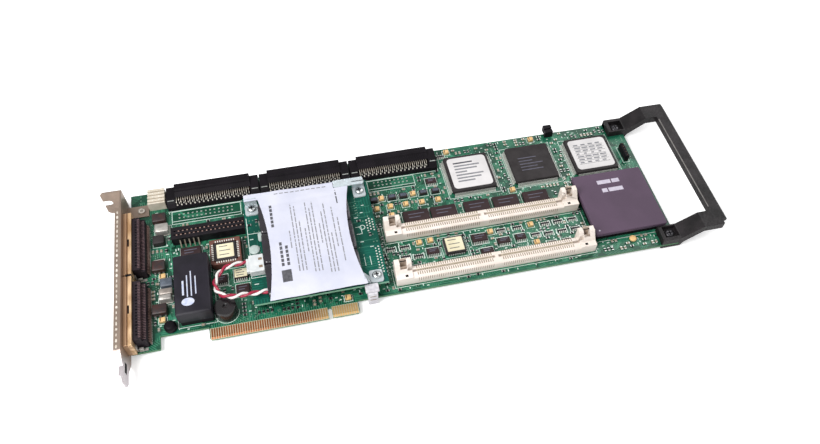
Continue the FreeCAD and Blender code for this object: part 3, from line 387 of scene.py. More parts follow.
# the deck's sawn edge is pale: a painted highlight along its lit lower edge
darkMask = {**solderMask, "gloss": 0.15, "bare": "#0a483c", "overCopper": "#156150", "pour": "#0c5145",
            "edge": "#7dad93", "field": 24.0, "trackPitch": 1.6}
printed = (2, 0.2, 0.002, (0.6, 0.7))     # an ink's patches, grain, depth and roughness
finish = {
    # epoxy solder mask: a deep green with a soft gloss, paler where copper lies under it
    "board": makeBoardFinish("screenedSolderMask", solderMask),
    "deck": makeBoardFinish("screenedSolderMaskDark", darkMask),
    "plainMask": madeOf("smoothMaskOverPour", "#0c3d2c", "#114a35", 6, 0.4, 0.004, (0.4, 0.5), specular=0.2),
    "maskedCopper": madeOf("maskOverCopperPour", "#2c7d5b", "#358668", 5, 0.4, 0.005, (0.3, 0.4), coat=0.2),
    "deckCopper": madeOf("darkMaskOverCopper", "#165f4c", "#1a6954", 5, 0.4, 0.005, (0.3, 0.4), coat=0.2),
    "bareLaminate": madeOf("wornMaskOverLaminate", "#c6baa0", "#b0a488", 3, 0.3, 0.01, (0.5, 0.6)),
    # screened and printed ink, and paper: flat colour with no shine
    "silk": madeOf("screenedEpoxyInk", "#e6f0ea", "#cfe0d7", 3, 0.15, 0.005, (0.6, 0.8)),
    "ink": madeOf("greyPrintInk", "#77777c", "#8b8b90", *printed),
    "inkDark": madeOf("darkPrintInk", "#3f3f45", "#55555b", *printed),
    "inkPale": madeOf("palePrintInk", "#c9ccd6", "#a9b2cf", *printed),
    "inkDim": madeOf("dimPrintInk", "#4b4957", "#5a5866", *printed),
    "inkLilac": madeOf("paleLilacPrintInk", "#cdc6d4", "#bdb5c6", *printed),
    "label": madeOf("paperLabel", "#dedbdb", "#cfcccc", 12, 0.2, 0.006, (0.6, 0.75)),
    "labelCream": madeOf("paperLabelCream", "#e4dcbf", "#d6ccab", 8, 0.2, 0.006, (0.6, 0.75)),
    # plated and tinned contacts: soft blurred glints, warm on gold and grey on tin
    # painted highlight: past the tongue's key this gold drifts to a brighter yellow, for the light that tab
    # catches
    "gold": madeOf("goldFlashedCopperPaintedHighlight", "#a1633a", "#83502c", 4, 0.3, 0.003, (0.28, 0.4), 0.7),
    "solder": madeOf("tinLeadSolder", "#c9ccc8", "#a9aca8", 1.0, 0.2, 0.01, (0.22, 0.4), 0.9),
    "lead": madeOf("tinnedLead", "#e0e0da", "#c8c8c2", 1, 0.2, 0.004, (0.3, 0.42), 0.35),
    "pad": madeOf("tinnedPad", "#8ca795", "#6d8f7b", 2.0, 0.2, 0.01, (0.3, 0.45), 0.6),
    "wire": madeOf("bronzeContactWire", "#c4baa8", "#9c917f", 2, 0.3, 0.004, (0.3, 0.42), 0.6),
    # painted shade: these wires darken towards the guide, standing for its shadow on them
    "headerWire": madeOf("tinnedHeaderWirePaintedShade", "#e6e0d4", "#c2baac", 2, 0.3, 0.004, (0.3, 0.42), 0.4),
    "tip": madeOf("brightTinnedTip", "#f6f4ee", "#e6e2d6", 1, 0.2, 0.004, (0.25, 0.35), 0.4),
    "pinkTin": madeOf("tinnedSocketMouth", "#bf9d92", "#93766d", 1, 0.2, 0.004, (0.3, 0.45), 0.3),
    "tail": madeOf("tinnedPortTail", "#9c7f80", "#6f5557", 2, 0.3, 0.004, (0.3, 0.45), 0.5),
    "copperBrown": madeOf("bronzeTail", "#6b5444", "#4a3a31", 2, 0.3, 0.004, (0.35, 0.5), 0.5),
    "lip": madeOf("socketSpringLip", "#e6dac8", "#d4c6b1", 1, 0.2, 0.004, (0.35, 0.5)),
    # sheet and turned steel: streaks drawn along the sheet, and brighter turned heads
    "bracket": madeOf("platedSheetSteel", "#9d8b7d", "#84756a", 9, 0.25, 0.006, (0.34, 0.5), 0.75,
                      (1, 0.2, 1)),
    "brass": madeOf("yellowPlatedShell", "#efcda4", "#b48d65", 3.5, 0.3, 0.006, (0.3, 0.45), 0.55,
                    (1, 0.35, 1)),
    "rivet": madeOf("upsetSteelRivet", "#b5ada2", "#9a9288", 2, 0.2, 0.01, (0.3, 0.45), 0.9),
    # near white: on the bracket's dimples a painted highlight, the light along the flange's ridge
    "bright": madeOf("brightSteelAndPaintedHighlight", "#f6efe4", "#d2c6b6", 2, 0.2, 0.004, (0.25, 0.4), 0.5),
    "postSteel": madeOf("nickelPlatedPost", "#c9c4bb", "#aaa59b", 2, 0.2, 0.004, (0.2, 0.32), 1.0),
    "latch": madeOf("springSteelLatch", "#cdbcac", "#b3a293", 3, 0.3, 0.006, (0.35, 0.5), 0.25),
    "can": madeOf("drawnNickelCan", "#b7b3ad", "#9d9994", 3, 0.25, 0.01, (0.35, 0.5), 0.55),
    "screw": madeOf("nickelPlatedScrew", "#d6dbdc", "#b2b7b9", 2, 0.2, 0.006, (0.18, 0.32), 1.0),
    # also the painted shade of the cover screws' drive recesses
    "screwDark": madeOf("blackOxideScrewAndRecessShade", "#4a494c", "#39383b", 2, 0.2, 0.006, (0.25, 0.4), 0.8),
    # black and dark mouldings: fine grain that takes the shine off, glossier where the mould was polished
    "blackPbt": madeOf("glassFilledPolyester", "#110e12", "#19151a", 9, 0.22, 0.012, (0.45, 0.6),
                       specular=0.1),
    "housing": madeOf("housingPolyester", "#211b20", "#2b2429", 5, 0.22, 0.012, (0.42, 0.58), specular=0.1),
    "blackGloss": madeOf("glossyBlackMoulding", "#110e12", "#19151a", 6, 0.25, 0.008, (0.3, 0.42),
                         specular=0.2),
    "buzzerAbs": madeOf("buzzerCaseAbs", "#151214", "#1d191c", 6, 0.4, 0.01, (0.16, 0.3), specular=0.5),
    "moduleCase": madeOf("pottedModuleCase", "#18161d", "#211e27", 9, 0.15, 0.01, (0.4, 0.52), specular=0.2),
    "handle": madeOf("sparkTexturedAbs", "#131112", "#292527", 9, 0.7, 0.12, (0.36, 0.62), specular=0.22),
    # painted highlight: the pale band on the handle bar's inner edge
    "handleEdgeHighlight": madeOf("absEdgePaintedHighlight", "#57534f", "#7a7672", 5, 0.4, 0.02, (0.3, 0.45), specular=0.4),
    "package": madeOf("epoxyMouldingCompound", "#292526", "#343031", 6, 0.12, 0.01, (0.5, 0.68),
                      specular=0.2),
    "packageBrown": madeOf("epoxyMouldingCompoundBrown", "#2d2022", "#38292a", 5, 0.12, 0.01, (0.5, 0.68),
                           specular=0.2),
    "regulator": madeOf("moldedPowerBody", "#371c18", "#20191b", 2.5, 0.2, 0.01, (0.45, 0.6)),
    # painted shade: near black put into slots, holes, pockets and seams for the shade inside them
    "recessShade": madeOf("shadedRecess", "#0f0e10", "#17161a", 2, 0.3, 0.002, (0.8, 0.9), specular=0.1),
    # fired and pressed bodies of small parts: matt, with faint clouds
    "ceramic": madeOf("firedAluminaDark", "#534354", "#5b495c", 26, 0.35, 0.012, (0.5, 0.62), specular=0.2),
    "ceramicCap": madeOf("bariumTitanateBody", "#a39681", "#85796a", 1, 0.2, 0.006, (0.5, 0.6)),
    "resistor": madeOf("glazedResistorBody", "#161417", "#232126", 1, 0.2, 0.006, (0.35, 0.5), specular=0.25),
    "tantalum": madeOf("mouldedTantalumEpoxy", "#edc78f", "#e0b577", 2, 0.2, 0.008, (0.45, 0.6)),
    "ferrite": madeOf("potFerriteTop", "#4b5160", "#3a3f4b", 2, 0.2, 0.006, (0.4, 0.55)),
    "silverBlock": madeOf("silverBeigeCoating", "#a59c94", "#8f867f", 2, 0.25, 0.008, (0.35, 0.5), 0.3),
    "blueGreyBlock": madeOf("blueGreyMoulding", "#5d6672", "#4b525d", 2, 0.25, 0.008, (0.45, 0.6)),
    # pale and brown mouldings: even colour with a wide, weak shine; slots in them are painted a darker
    # colour, for the shade inside them
    "cream": madeOf("liquidCrystalPolymerCream", "#f0e5dd", "#e4d8cd", 10, 0.3, 0.01, (0.45, 0.6)),
    "wallSlot": madeOf("shadedWallSlot", "#ab9384", "#998073", 2, 0.2, 0.002, (0.7, 0.8), specular=0.2),
    "slotShade": madeOf("shadedSlot", "#93806c", "#7d6b59", 2, 0.2, 0.002, (0.7, 0.8), specular=0.2),
    "nylon": madeOf("naturalNylon", "#d6d8d8", "#c3c7c9", 4, 0.3, 0.01, (0.4, 0.55), specular=0.4),
    "nylonCream": madeOf("agedNylon", "#d3cabb", "#c4baa9", 4, 0.3, 0.01, (0.4, 0.55), specular=0.4),
    "frosted": madeOf("frostedNylon", "#b4c0bc", "#a3b1ad", 3, 0.3, 0.01, (0.35, 0.5), specular=0.4),
    "clipNylon": madeOf("clipNylon", "#dad8dc", "#bab7be", 3, 0.3, 0.01, (0.4, 0.55), specular=0.3),
    "brown": madeOf("phenolicSocketBrown", "#6d4033", "#57332a", 4, 0.2, 0.01, (0.45, 0.6)),
    "redPvc": madeOf("redPvcInsulation", "#a81c3e", "#8c1434", 3, 0.3, 0.008, (0.3, 0.42)),
    "whitePvc": madeOf("whitePvcInsulation", "#e9e6e4", "#dad6d3", 3, 0.3, 0.008, (0.3, 0.42)),
    # thin films: the sleeve clings in glossy wrinkles, the printed sheet ripples softly
    "sleeve": madeOf("shrinkFilmBlack", "#110d14", "#1f1823", 7, 1.4, 0.25, (0.16, 0.3), coat=0.25),
    "cover": madeOf("printedPolyesterSheet", "#d0d1de", "#c4c6d6", 18, 6.0, 0.35, (0.42, 0.55)),
}


def makeClearFilm():     # formed polyester: clear, bends what lies under it a little, with sharp glints
    material, tree, shader, coords = startMaterial("clearPolyester")
    dents = addNode(tree, "TexNoise", {"Vector": coords, "Scale": 1 / (2.5 * mm), "Detail": 1.0})
    setInputs(shader, {
        "Normal": addNode(tree, "Bump", {"Height": dents, "Distance": 0.6 * mm, "Strength": 1.0}),
        "Roughness": addNode(tree, "MapRange", {**noiseRange, "Value": dents, "To Min": 0.05, "To Max": 0.2}),
        "Base Color": hexColour("#e6eff4"), "Transmission Weight": 0.45, "IOR": 1.3,
    })
    return material


finish["clear"] = makeClearFilm()


def shiftShade(key, axis, low, high, shade, strength):
    # the same finish drifts to another shade along one axis, between two places in metres
    tree = finish[key].node_tree
    shader = tree.nodes["Principled BSDF"]
    first = shader.inputs["Base Color"].links[0].from_socket
    coords = addNode(tree, "TexCoord").outputs["Object"]
    along = addNode(tree, "SeparateXYZ", {"Vector": coords}).outputs[axis]
    amount = addNode(tree, "MapRange", {"Value": along, "From Min": low, "From Max": high,
                                        "To Max": strength})
    setInputs(shader, {"Base Color": addNode(tree, "MixRGB", {0: amount, 1: first, 2: hexColour(shade)})})


# the bracket's tongue has lost its tint; the shell's folded front is duller than the drawn part behind it
shiftShade("bracket", 1, -2.0 * mm, -11.0 * mm, "#c4bfc5", 0.75)
shiftShade("brass", 0, boardLow.x + 1.0 * mm, boardLow.x + 0.8 * mm, "#b08c6e", 0.85)
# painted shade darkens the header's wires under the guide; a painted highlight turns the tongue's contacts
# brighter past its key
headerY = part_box("drive_header_1")[0].y
shiftShade("headerWire", 1, headerY + 2.4 * mm, headerY + 5.4 * mm, "#453d35", 0.9)
shiftShade("gold", 0, boardLow.x + 92 * mm, boardLow.x + 106 * mm, "#dcb573", 0.85)
print("finishes made")

# these CAD nodes are seen as they are; every other node is eased or replaced below
for node, shade in {"main_board": "board", "battery_board": "deck", "edge_contacts": "gold",
                    "bracket_rivet": "rivet"}.items():
    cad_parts[node].data.materials.clear()
    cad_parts[node].data.materials.append(finish[shade])


# red and white wires of the battery lead, twisted round each other
lead = {
    "route": [(63.9, 38.0, 10.6), (60.2, 38.0, 10.6), (53.2, 38.0, 10.2), (47.8, 34.0, 9.4),
              (45.7, 27.6, 9.2), (47.8, 21.2, 10.2), (53.2, 17.2, 11.3), (60.4, 17.2, 11.5),
              (67.0, 17.2, 10.9), (73.8, 17.2, 10.9)],
    "strand": 0.74,        # radius of one insulated wire, millimetres
    "lay": 12.0,           # length of one full twist
    "start": 80.0,         # degrees, turn of the pair where it leaves the plug
    "steps": 150,
}


def routeLine():
    curve = bpy.data.curves.new("leadLine", "CURVE")
    curve.dimensions = "3D"
    curve.resolution_u = 16
    line = curve.splines.new("NURBS")
    line.points.add(len(lead["route"]) - 1)
    for point, place in zip(line.points, lead["route"]):
        point.co = (*at(*place), 1.0)
    line.order_u = 3
    line.use_endpoint_u = True
    holder = bpy.data.objects.new("leadLine", curve)
    bpy.context.collection.objects.link(holder)
    bpy.context.view_layer.update()
    sampled = bpy.data.meshes.new_from_object(holder)
    points = np.array([v.co[:] for v in sampled.vertices])
    bpy.data.objects.remove(holder)
    bpy.data.curves.remove(curve)
    return points


def twistedPair():
    # each strand's middle runs on a circle round the line: c(s) + r (side cos a + up sin a), a = 2 pi s / lay
    line = (routeLine() - boardCorner) / mm
    steps = np.linalg.norm(np.diff(line, axis=0), axis=1)
    s = np.concatenate([[0], np.cumsum(steps)])
    even = np.linspace(0, s[-1], lead["steps"])
    line = np.stack([np.interp(even, s, line[:, k]) for k in range(3)], 1)
    side, up = squareTo(line)
    angle = np.radians(lead["start"]) + 2 * np.pi * even / lead["lay"]
    for name, shade, turn in (("battery_wire_red", "redPvc", 0.0),
                              ("battery_wire_white", "whitePvc", np.pi)):
        offset = side * np.cos(angle + turn)[:, None] + up * np.sin(angle + turn)[:, None]
        path = line + offset * lead["strand"]
        addPiece(name, tube(path, lead["strand"], 12), shade, 60)
    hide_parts("battery_lead")
    plug = eased("battery_plug", 0.25, "nylon")
    print("lead", round(s[-1], 1), "mm")


twistedPair()
print("battery lead made")

# ground plan of the component side, in half-millimetre squares, true where something stands
groundPlan = np.zeros((632, 220), bool)
boardSpan = span("main_board")
boardTop, boardBack = boardSpan[1][2], boardSpan[0][2]
deckLow, deckHigh = span("battery_board")
deckScrews = ((70.2, 75.6), (133.4, 76.6), (132.5, 16.2))     # they hold the battery's cover
cardEdge = 7.8     # the board's lower edge above the contact tongue's end
rim = 0.8          # kept bare along the board's edges


def squares(x0, y0, x1, y1):
    low = np.floor(np.array([x0, y0]) * 2).astype(int).clip(0)
    high = np.ceil(np.array([x1, y1]) * 2).astype(int)
    return slice(low[0], high[0]), slice(low[1], high[1])


def take(x0, y0, x1, y1, gap=0.3):
    groundPlan[squares(x0 - gap, y0 - gap, x1 + gap, y1 + gap)] = True


def isFree(x0, y0, x1, y1):
    inside = x0 > rim and x1 < boardSpan[1][0] - rim and y0 > cardEdge + rim and y1 < boardSpan[1][1] - rim
    return inside and not groundPlan[squares(x0, y0, x1, y1)].any()


def freeRank(x, y, step, count, half, gap=0.0):     # takes places in line from (x, y) until one isn't free
    found = []
    for k in range(count):
        px, py = x + step[0] * k, y + step[1] * k
        spot = (px - half[0], py - half[1], px + half[0], py + half[1])
        if not isFree(*spot):
            break
        take(*spot, gap)
        found.append((px, py, boardTop))
    return found


def planBoard():     # whatever stands on the board, the handle's ears and the rivet's land
    overBoard = ("main_board", "battery_cover", "battery_lead", "card_handle", "slot_bracket",
                 "edge_contacts")
    ear, land = 11.5, 3.2
    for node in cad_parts:
        if node in overBoard:
            continue
        for low, high in solidBoxes(node):
            if low[2] < 3.0 and high[2] > 0.2:
                take(*low[:2], *high[:2])
    low, high = span("card_handle")
    take(low[0], low[1], boardSpan[1][0], low[1] + ear)
    take(low[0], high[1] - ear, boardSpan[1][0], high[1])
    low, high = span("bracket_rivet")
    take(0, low[1] - land, high[0] + land, high[1] + land)


planBoard()

# screened ink stands a little above the board
silk = {
    "line": 0.28, "top": boardTop + 0.05,
    # from a part to its outline
    "gaps": {"cache_chips": 0.5, "logic_chips": 0.4, "clock_chip": 0.4, "crystal_cans": 0.7,
             "memory_module": 0.8, "chip_socket": 0.7, "tantalum_capacitors": 0.55,
             "power_inductors": 0.5, "test_header": 0.8, "suppressor_blocks": 0.5},
    "padStrips": [(23.3, 80.6, 63.1, 89.8), (140.0, 81.4, 169.0, 89.8)],     # places left without a connector
}


def inkLine(points, z=silk["top"], width=silk["line"], closed=False):
    return ribbon(points, width, z - 0.05, z, closed)


def frameLine(x0, y0, x1, y1, z=silk["top"]):
    return inkLine([(x0, y0), (x1, y0), (x1, y1), (x0, y1)], z, closed=True)


def outline(low, high, gap):
    return frameLine(low[0] - gap, low[1] - gap, high[0] + gap, high[1] + gap)


def circleLine(x, y, radius, start=0, end=360, steps=28, z=silk["top"]):
    a = np.radians(np.linspace(start, end, steps))
    return inkLine(np.stack([x + radius * np.cos(a), y + radius * np.sin(a)], 1), z)


def addSilk():
    shapes = []
    for node, gap in silk["gaps"].items():
        shapes += [outline(low, high, gap) for low, high in solidBoxes(node)]
    for low, high in solidBoxes("resistor_packs"):     # a bracket at each end of the pack
        y0, y1 = low[1] - 0.95, high[1] + 0.95
        for x, inner in ((low[0] - 0.7, low[0] + 0.1), (high[0] + 0.7, high[0] - 0.1)):
            shapes.append(inkLine([(inner, y0), (x, y0), (x, y1), (inner, y1)], width=0.46))
    for node in ("controller_chip_1", "controller_chip_2", "controller_chip_3", "processor"):
        low, high = span(node)
        shapes += [outline(low, high, 1.0), circleLine(high[0] + 1.9, low[1] - 1.9, 0.5, steps=10)]
    shapes += [outline(*span("timing_chip"), gap) for gap in (1.3, 2.3)]
    for node in ("memory_socket_1", "memory_socket_2"):
        low, high = span(node)
        shapes.append(frameLine(low[0] - 1.0, low[1] - 0.9, high[0] + 1.0, high[1] + 0.7))
    for node in ("drive_header_1", "drive_header_2", "drive_header_3"):
        low, high = span(node)
        left, right, y = low[0] - 0.35, high[0] + 0.35, low[1] - 0.6
        shapes += [inkLine([(left, y), (right, y)]), inkLine([(right, y), (right, boardSpan[1][1] - 0.6)])]
    middle, radius, _ = roundSpan("buzzer")
    shapes.append(circleLine(*middle[:2], radius + 0.5, 150, 370))
    for x0, y0, x1, y1 in silk["padStrips"]:
        shapes += [frameLine(x0, y0, x1, y1), inkLine([(x0, y0 + 1.9), (x1, y0 + 1.9)])]
    addPiece("screened_outlines", shapes, "silk")


def padPlaces(strip, z):     # two rows of holes
    x0, y0, x1, _ = strip
    return [(x, y, z) for y in (y0 + 4.3, y0 + 6.84) for x in np.arange(x0 + 4.2, x1 - 3.6, 2.54)]


def addPadStrips():
    places, pours = [], []
    for strip in silk["padStrips"]:
        x0, y0, x1, y1 = strip
        pours.append(box(x0 + 0.4, y0 + 0.4, boardTop - 0.01, x1 - 0.4, y1 - 0.4, boardTop + 0.02))
        places += padPlaces(strip, boardTop)
        take(*strip)
    ring, hole = lathe([(0.5, 0.0), (0.46, 0.06), (0.24, 0.06)], 8), lathe([(0.26, 0.0), (0.26, 0.065)], 8)
    addPiece("open_pads", repeat(ring, places), "lead")
    # the pads' holes are painted near black: painted shade
    addPiece("open_pad_holes", repeat(hole, places), "recessShade")
    addPiece("open_pad_grounds", pours, "plainMask")


# the small things that cover the board: how many at most, and the reach of one from its middle in millimetres
scatter = {
    "tries": 9000,
    "passives": 450, "passive": (1.45, 0.85), "rank": 2.3, "capacitorShare": 0.4, "bareUnderDeck": 0.8,
    "marks": 420, "mark": (0.9, 0.35),
    "vias": 1500, "via": (0.4, 0.4), "grid": 0.635, "viaPitches": [1.27, 1.905, 2.54],
    "fanX": (13.2, 14.4, 15.6, 16.8, 18.2), "fanPitch": 1.5,     # every port contact's own via
    "tracks": 150, "trackPitch": 0.68,
}


def eitherWay(share, step):     # a step along X in this share of cases, or else along Y
    return (step, 0.0) if random.random() < share else (0.0, step)


def trackLine(start, run, side, first, jog, last):     # straight, then 45 degrees to one side, straight on
    knee = start + run * first
    slant = knee + (run + side) * jog
    return np.array([start, knee, slant, slant + run * last])


def turnedHalf(half, turn):
    return half if turn == 0 else half[::-1]


def partEnds(inner, outer, z0, z1):     # tinned ends of a chip capacitor or resistor
    return together(box(-outer, -0.62, z0, -inner, 0.62, z1), box(inner, -0.62, z0, outer, 0.62, z1))


def addPassives():     # chip capacitors and resistors in short ranks: fired body between two tinned ends
    bodies = {"ceramicCap": [], "resistor": []}
    turns = {"ceramicCap": [], "resistor": []}
    for _ in range(scatter["tries"]):
        if len(bodies["ceramicCap"]) + len(bodies["resistor"]) > scatter["passives"]:
            break
        x, y = random.uniform(9, 300), random.uniform(9, 105)
        under = deckLow[0] < x < deckHigh[0] and deckLow[1] < y < deckHigh[1]
        if under and random.random() < scatter["bareUnderDeck"]:
            continue
        turn = 90 * random.integers(0, 2)
        kind = "ceramicCap" if random.random() < scatter["capacitorShare"] else "resistor"
        step = (0.0, scatter["rank"]) if turn == 0 else (scatter["rank"], 0.0)
        found = freeRank(x, y, step, random.integers(1, 5), turnedHalf(scatter["passive"], turn))
        bodies[kind] += found
        turns[kind] += [turn] * len(found)
    for kind, name in (("ceramicCap", "chip_capacitor_bodies"), ("resistor", "chip_resistor_bodies")):
        body = repeat(box(-0.62, -0.6, 0.02, 0.62, 0.6, 0.7), bodies[kind], turns[kind])
        addPiece(name, body, kind)
    places, turns = bodies["ceramicCap"] + bodies["resistor"], turns["ceramicCap"] + turns["resistor"]
    addPiece("chip_part_ends", repeat(partEnds(0.6, 1.05, 0, 0.72), places, turns), "solder")


def addMarks():     # plain short bars stand for the printed part marks
    places, turns = [], []
    for _ in range(scatter["tries"]):
        if len(places) > scatter["marks"]:
            break
        x, y = random.uniform(12, 300), random.uniform(9, 105)
        turn = 90 * random.integers(0, 2)
        found = freeRank(x, y, (0, 0), 1, turnedHalf(scatter["mark"], turn))
        places += found
        turns += [turn] * len(found)
    count = len(places)
    sizes = np.column_stack([random.uniform(0.6, 1.0, count), np.ones(count), np.ones(count)])
    marks = repeat(box(-0.8, -0.24, 0, 0.8, 0.24, 0.05), places, turns, sizes)
    addPiece("screened_marks", marks, "silk")


def viaRing(radius=0.4, height=0.05, hole=(0.2, 0.17)):     # tinned ring with a dimple at its middle
    profile = [(radius, 0), (radius - 0.04, height), (hole[0], height), (hole[1], 0.01 * np.sign(height))]
    return lathe(profile, 6)


def onGrid(x0, x1, y0, y1):     # random place on the router's grid
    place = np.array([random.uniform(x0, x1), random.uniform(y0, y1)])
    return np.round(place / scatter["grid"]) * scatter["grid"]


def addVias():     # plated holes under the mask, in the straight ranks a router leaves
    places = []
    for x in scatter["fanX"]:
        for y in np.arange(12.0, 90.0, scatter["fanPitch"]) + random.uniform(0, 0.6):
            if random.random() < 0.75:
                places += freeRank(x, y, (0, 0), 1, scatter["via"], 0.05)
    for _ in range(scatter["vias"]):
        if len(places) > scatter["vias"]:
            break
        x, y = onGrid(2, 310, 9, 105)
        pitch = random.choice(scatter["viaPitches"])
        places += freeRank(x, y, eitherWay(0.5, pitch), random.integers(2, 12), scatter["via"], 0.05)
    print("vias", len(places))
    places += [(x, y, boardTop) for x in (140.6, 142.3) for y in np.arange(20.0, 52.0, 1.9)]
    addPiece("board_vias", repeat(viaRing(), places), "pad")


# where bundles of tracks may start: low x, low y, high x, high y
trackZones = [(66, 9, 140, 11), (142, 9, 262, 11), (146, 22.8, 258, 41.6), (142, 53, 262, 66),
              (170, 68, 300, 104), (12, 56, 44, 65), (44, 22, 64, 44), (266, 9, 300, 18),
              (262, 64, 311, 68), (140, 66, 188, 104), (10.8, 8.4, 24, 92)]


def addTracks():     # edge contacts fan up to their first vias; bundles of tracks run between the packages
    lines, vias = [], []
    for n, (low, high) in enumerate(solidBoxes("edge_contacts", 0)):
        x, top = (low[0] + high[0]) / 2, high[1]
        end = cardEdge + (0.9, 2.1, 3.3)[n % 3]
        shift = (0.0, 0.35, -0.35)[n % 3]
        lines.append(inkLine([(x, top - 0.1), (x, end - 1.0), (x + shift, end)], boardTop + 0.045, 0.3))
        vias.append((x + shift, end, boardTop))
    addPiece("contact_vias", repeat(viaRing(0.42, 0.06), vias), "pad")
    for _ in range(scatter["tracks"]):
        x0, y0, x1, y1 = trackZones[random.integers(len(trackZones))]
        x, y = random.uniform(x0, x1), random.uniform(y0, y1)
        count = random.integers(3, 9)
        run = np.array(eitherWay(0.55, 1.0))
        across = run[::-1]
        turn = random.choice([-1.0, 1.0])
        lengths = random.uniform(3, 12, 3)
        for k in range(count):
            start = np.array([x, y]) + across * scatter["trackPitch"] * k
            points = trackLine(start, run, across * turn, lengths[0] + 0.28 * k * turn, lengths[1] * 0.35,
                               lengths[2])
            if (points >= (1, cardEdge + 1)).all() and (points <= (311, 105.6)).all():
                lines.append(inkLine(points, boardTop + 0.04, 0.26))
    addPiece("raised_tracks", lines, "maskedCopper")


def dressTongue():     # the mask has worn off between the contacts, and their tips run down the bevel
    pads = solidBoxes("edge_contacts", 0)
    key = int(np.argmax([after[0][0] - before[1][0] for before, after in zip(pads, pads[1:])]))
    bevel = [(0.12, -0.40), (1.5, 0.012), (6.9, 0.012), (6.9, 0.03), (1.5, 0.03), (0.12, -0.38)]
    bare = [alongX(bevel, pads[0][0][0] - 0.5, pads[key][1][0] + 0.25),
            alongX(bevel, pads[key + 1][0][0] - 0.25, pads[-1][1][0] + 0.5)]
    addPiece("tongue_bare_laminate", bare, "bareLaminate")
    y = pads[0][0][1] + 0.1
    tip = [(0.35, -0.36), (1.5, 0.0), (y, 0.0), (y, 0.05), (1.5, 0.05), (0.35, -0.29)]
    addPiece("edge_contact_tips", [alongX(tip, low[0], high[0]) for low, high in pads], "gold")


dressTongue()
addSilk()
addPadStrips()
addPassives()
addMarks()
addVias()
addTracks()
print("board details made")


def gullWing(reach, knee, width, thick=0.16):     # out of the body, down from the knee, along the board
    fold = reach * 0.42
    side = [(-0.2, knee), (fold, knee), (fold + 0.25, thick), (reach, thick), (reach, 0.0),
            (fold + 0.08, 0.0), (fold - 0.16, knee - thick), (-0.2, knee - thick)]
    return alongX([(y, z + boardTop) for y, z in side], -width / 2, width / 2)


def sideRows(low, high, pitch, count=None, margin=0.0, sides=(0, 90, 180, 270), inset=0.0, z=0.0):
    # places along a rectangle's sides, and turns at which +Y faces out; a row lies along X before its turn
    middle, half = (low + high) / 2, (high - low) / 2
    places, turns = [], []
    for turn in sides:
        long, out = half[:2] if turn % 180 == 0 else half[1::-1]
        number = count or int((2 * long - 2 * margin) / pitch) + 1
        cos, sin = np.cos(np.radians(turn)), np.sin(np.radians(turn))
        for t in (np.arange(number) - (number - 1) / 2) * pitch:
            x, y = middle[0] + t * cos - (out - inset) * sin, middle[1] + t * sin + (out - inset) * cos
            places.append((x, y, z))
            turns.append(turn)
    return places, turns


def leadRows(low, high, sides, reach, knee, pitch, width, margin):     # leads, and the fillet under each foot
    rows = sideRows(low, high, pitch, margin=margin, sides=sides)
    fillet = box(-width * 0.62, reach * 0.45, 0, width * 0.62, reach + 0.45, 0.06)
    return repeat(gullWing(reach, knee, width), *rows), repeat(fillet, *rows)


def dimple(x, y, z, radius):     # moulded mark for the first lead
    profile = [(radius, -0.02), (radius * 0.96, 0.03), (radius * 0.8, 0.03), (radius * 0.7, 0.005)]
    return repeat(lathe(profile, 14), (x, y, z))


# leads of the flat packages
flat = {"reach": 1.3, "foot": 0.35, "knee": 1.75, "pitch": 0.65, "width": 0.33}


def flatPack(node):
    low, high = span(node)
    reach = flat["reach"]
    low, high = low + [reach, reach, flat["foot"]], high - [reach, reach, 0]
    shape = [moulded(*low, *high, draft=0.35, edge=0.18, radius=0.9),
             dimple(low[0] + 2.6, low[1] + 2.6, high[2], 0.9)]
    addPiece(node + "_body", shape, "package", 35, node)
    leads, pads = leadRows(low, high, (0, 90, 180, 270), reach, flat["knee"], flat["pitch"],
                           flat["width"], reach)
    addPiece(node + "_leads", leads, "lead")
    addPiece(node + "_pads", pads, "lead")
    if node == "controller_chip_2":     # faint generic print
        bars = [box(low[0] + 6, y, high[2], low[0] + 6 + w, y + 0.7, high[2] + 0.015)
                for y, w in zip(np.arange(low[1] + 8, low[1] + 20, 2.4), (14, 11, 15, 9, 12))]
        addPiece(node + "_print", bars, "inkDim")


def smallOutline(node, pitch, width, foot=1.0):     # packages with leads on two sides
    bodies, leads, prints, pads = [], [], [], []
    for low, high in solidBoxes(node):
        low, high = low + [0, foot, 0.2], high - [0, foot, 0]
        bodies += [moulded(*low, *high, draft=0.18, edge=0.12, radius=0.15),
                   dimple(low[0] + 1.1, low[1] + 1.1, high[2], 0.45)]
        knee = 0.29 + (high[2] - boardTop - 0.2) * 0.45
        row = leadRows(low, high, (0, 180), foot, knee, pitch, width, 0.6)
        leads.append(row[0])
        pads.append(row[1])
        wide, deep, top = *(high - low)[:2], high[2]
        for k, share in enumerate((0.62, 0.45)):     # two lines of print
            x, y = low[0] + wide * 0.2, low[1] + deep * (0.62 - 0.28 * k)
            prints.append(box(x, y, top, x + wide * share, y + 0.55, top + skin))
    addPiece(node + "_bodies", bodies, "packageBrown", 35, node)
    addPiece(node + "_leads", leads, "lead")
    addPiece(node + "_pads", pads, "solder")
    if node != "clock_chip":
        addPiece(node + "_print", prints, "inkDim")


def timingChip():     # leads fold under the body on all four sides
    low, high = span("timing_chip")
    shape = [moulded(*low, *high, draft=0.25, edge=0.15, radius=0.5),
             dimple(low[0] + 1.2, high[1] - 1.2, high[2], 0.4)]
    addPiece("timing_chip_body", shape, "package", 35, "timing_chip")
    fold = alongX([(0.15, 0.05), (0.55, 0.05), (0.6, 1.4), (0.1, 1.6)], -0.35, 0.35)
    rows = sideRows(low, high, 1.27, 8, inset=0.2, z=boardTop)
    addPiece("timing_chip_leads", repeat(fold, *rows), "solder")


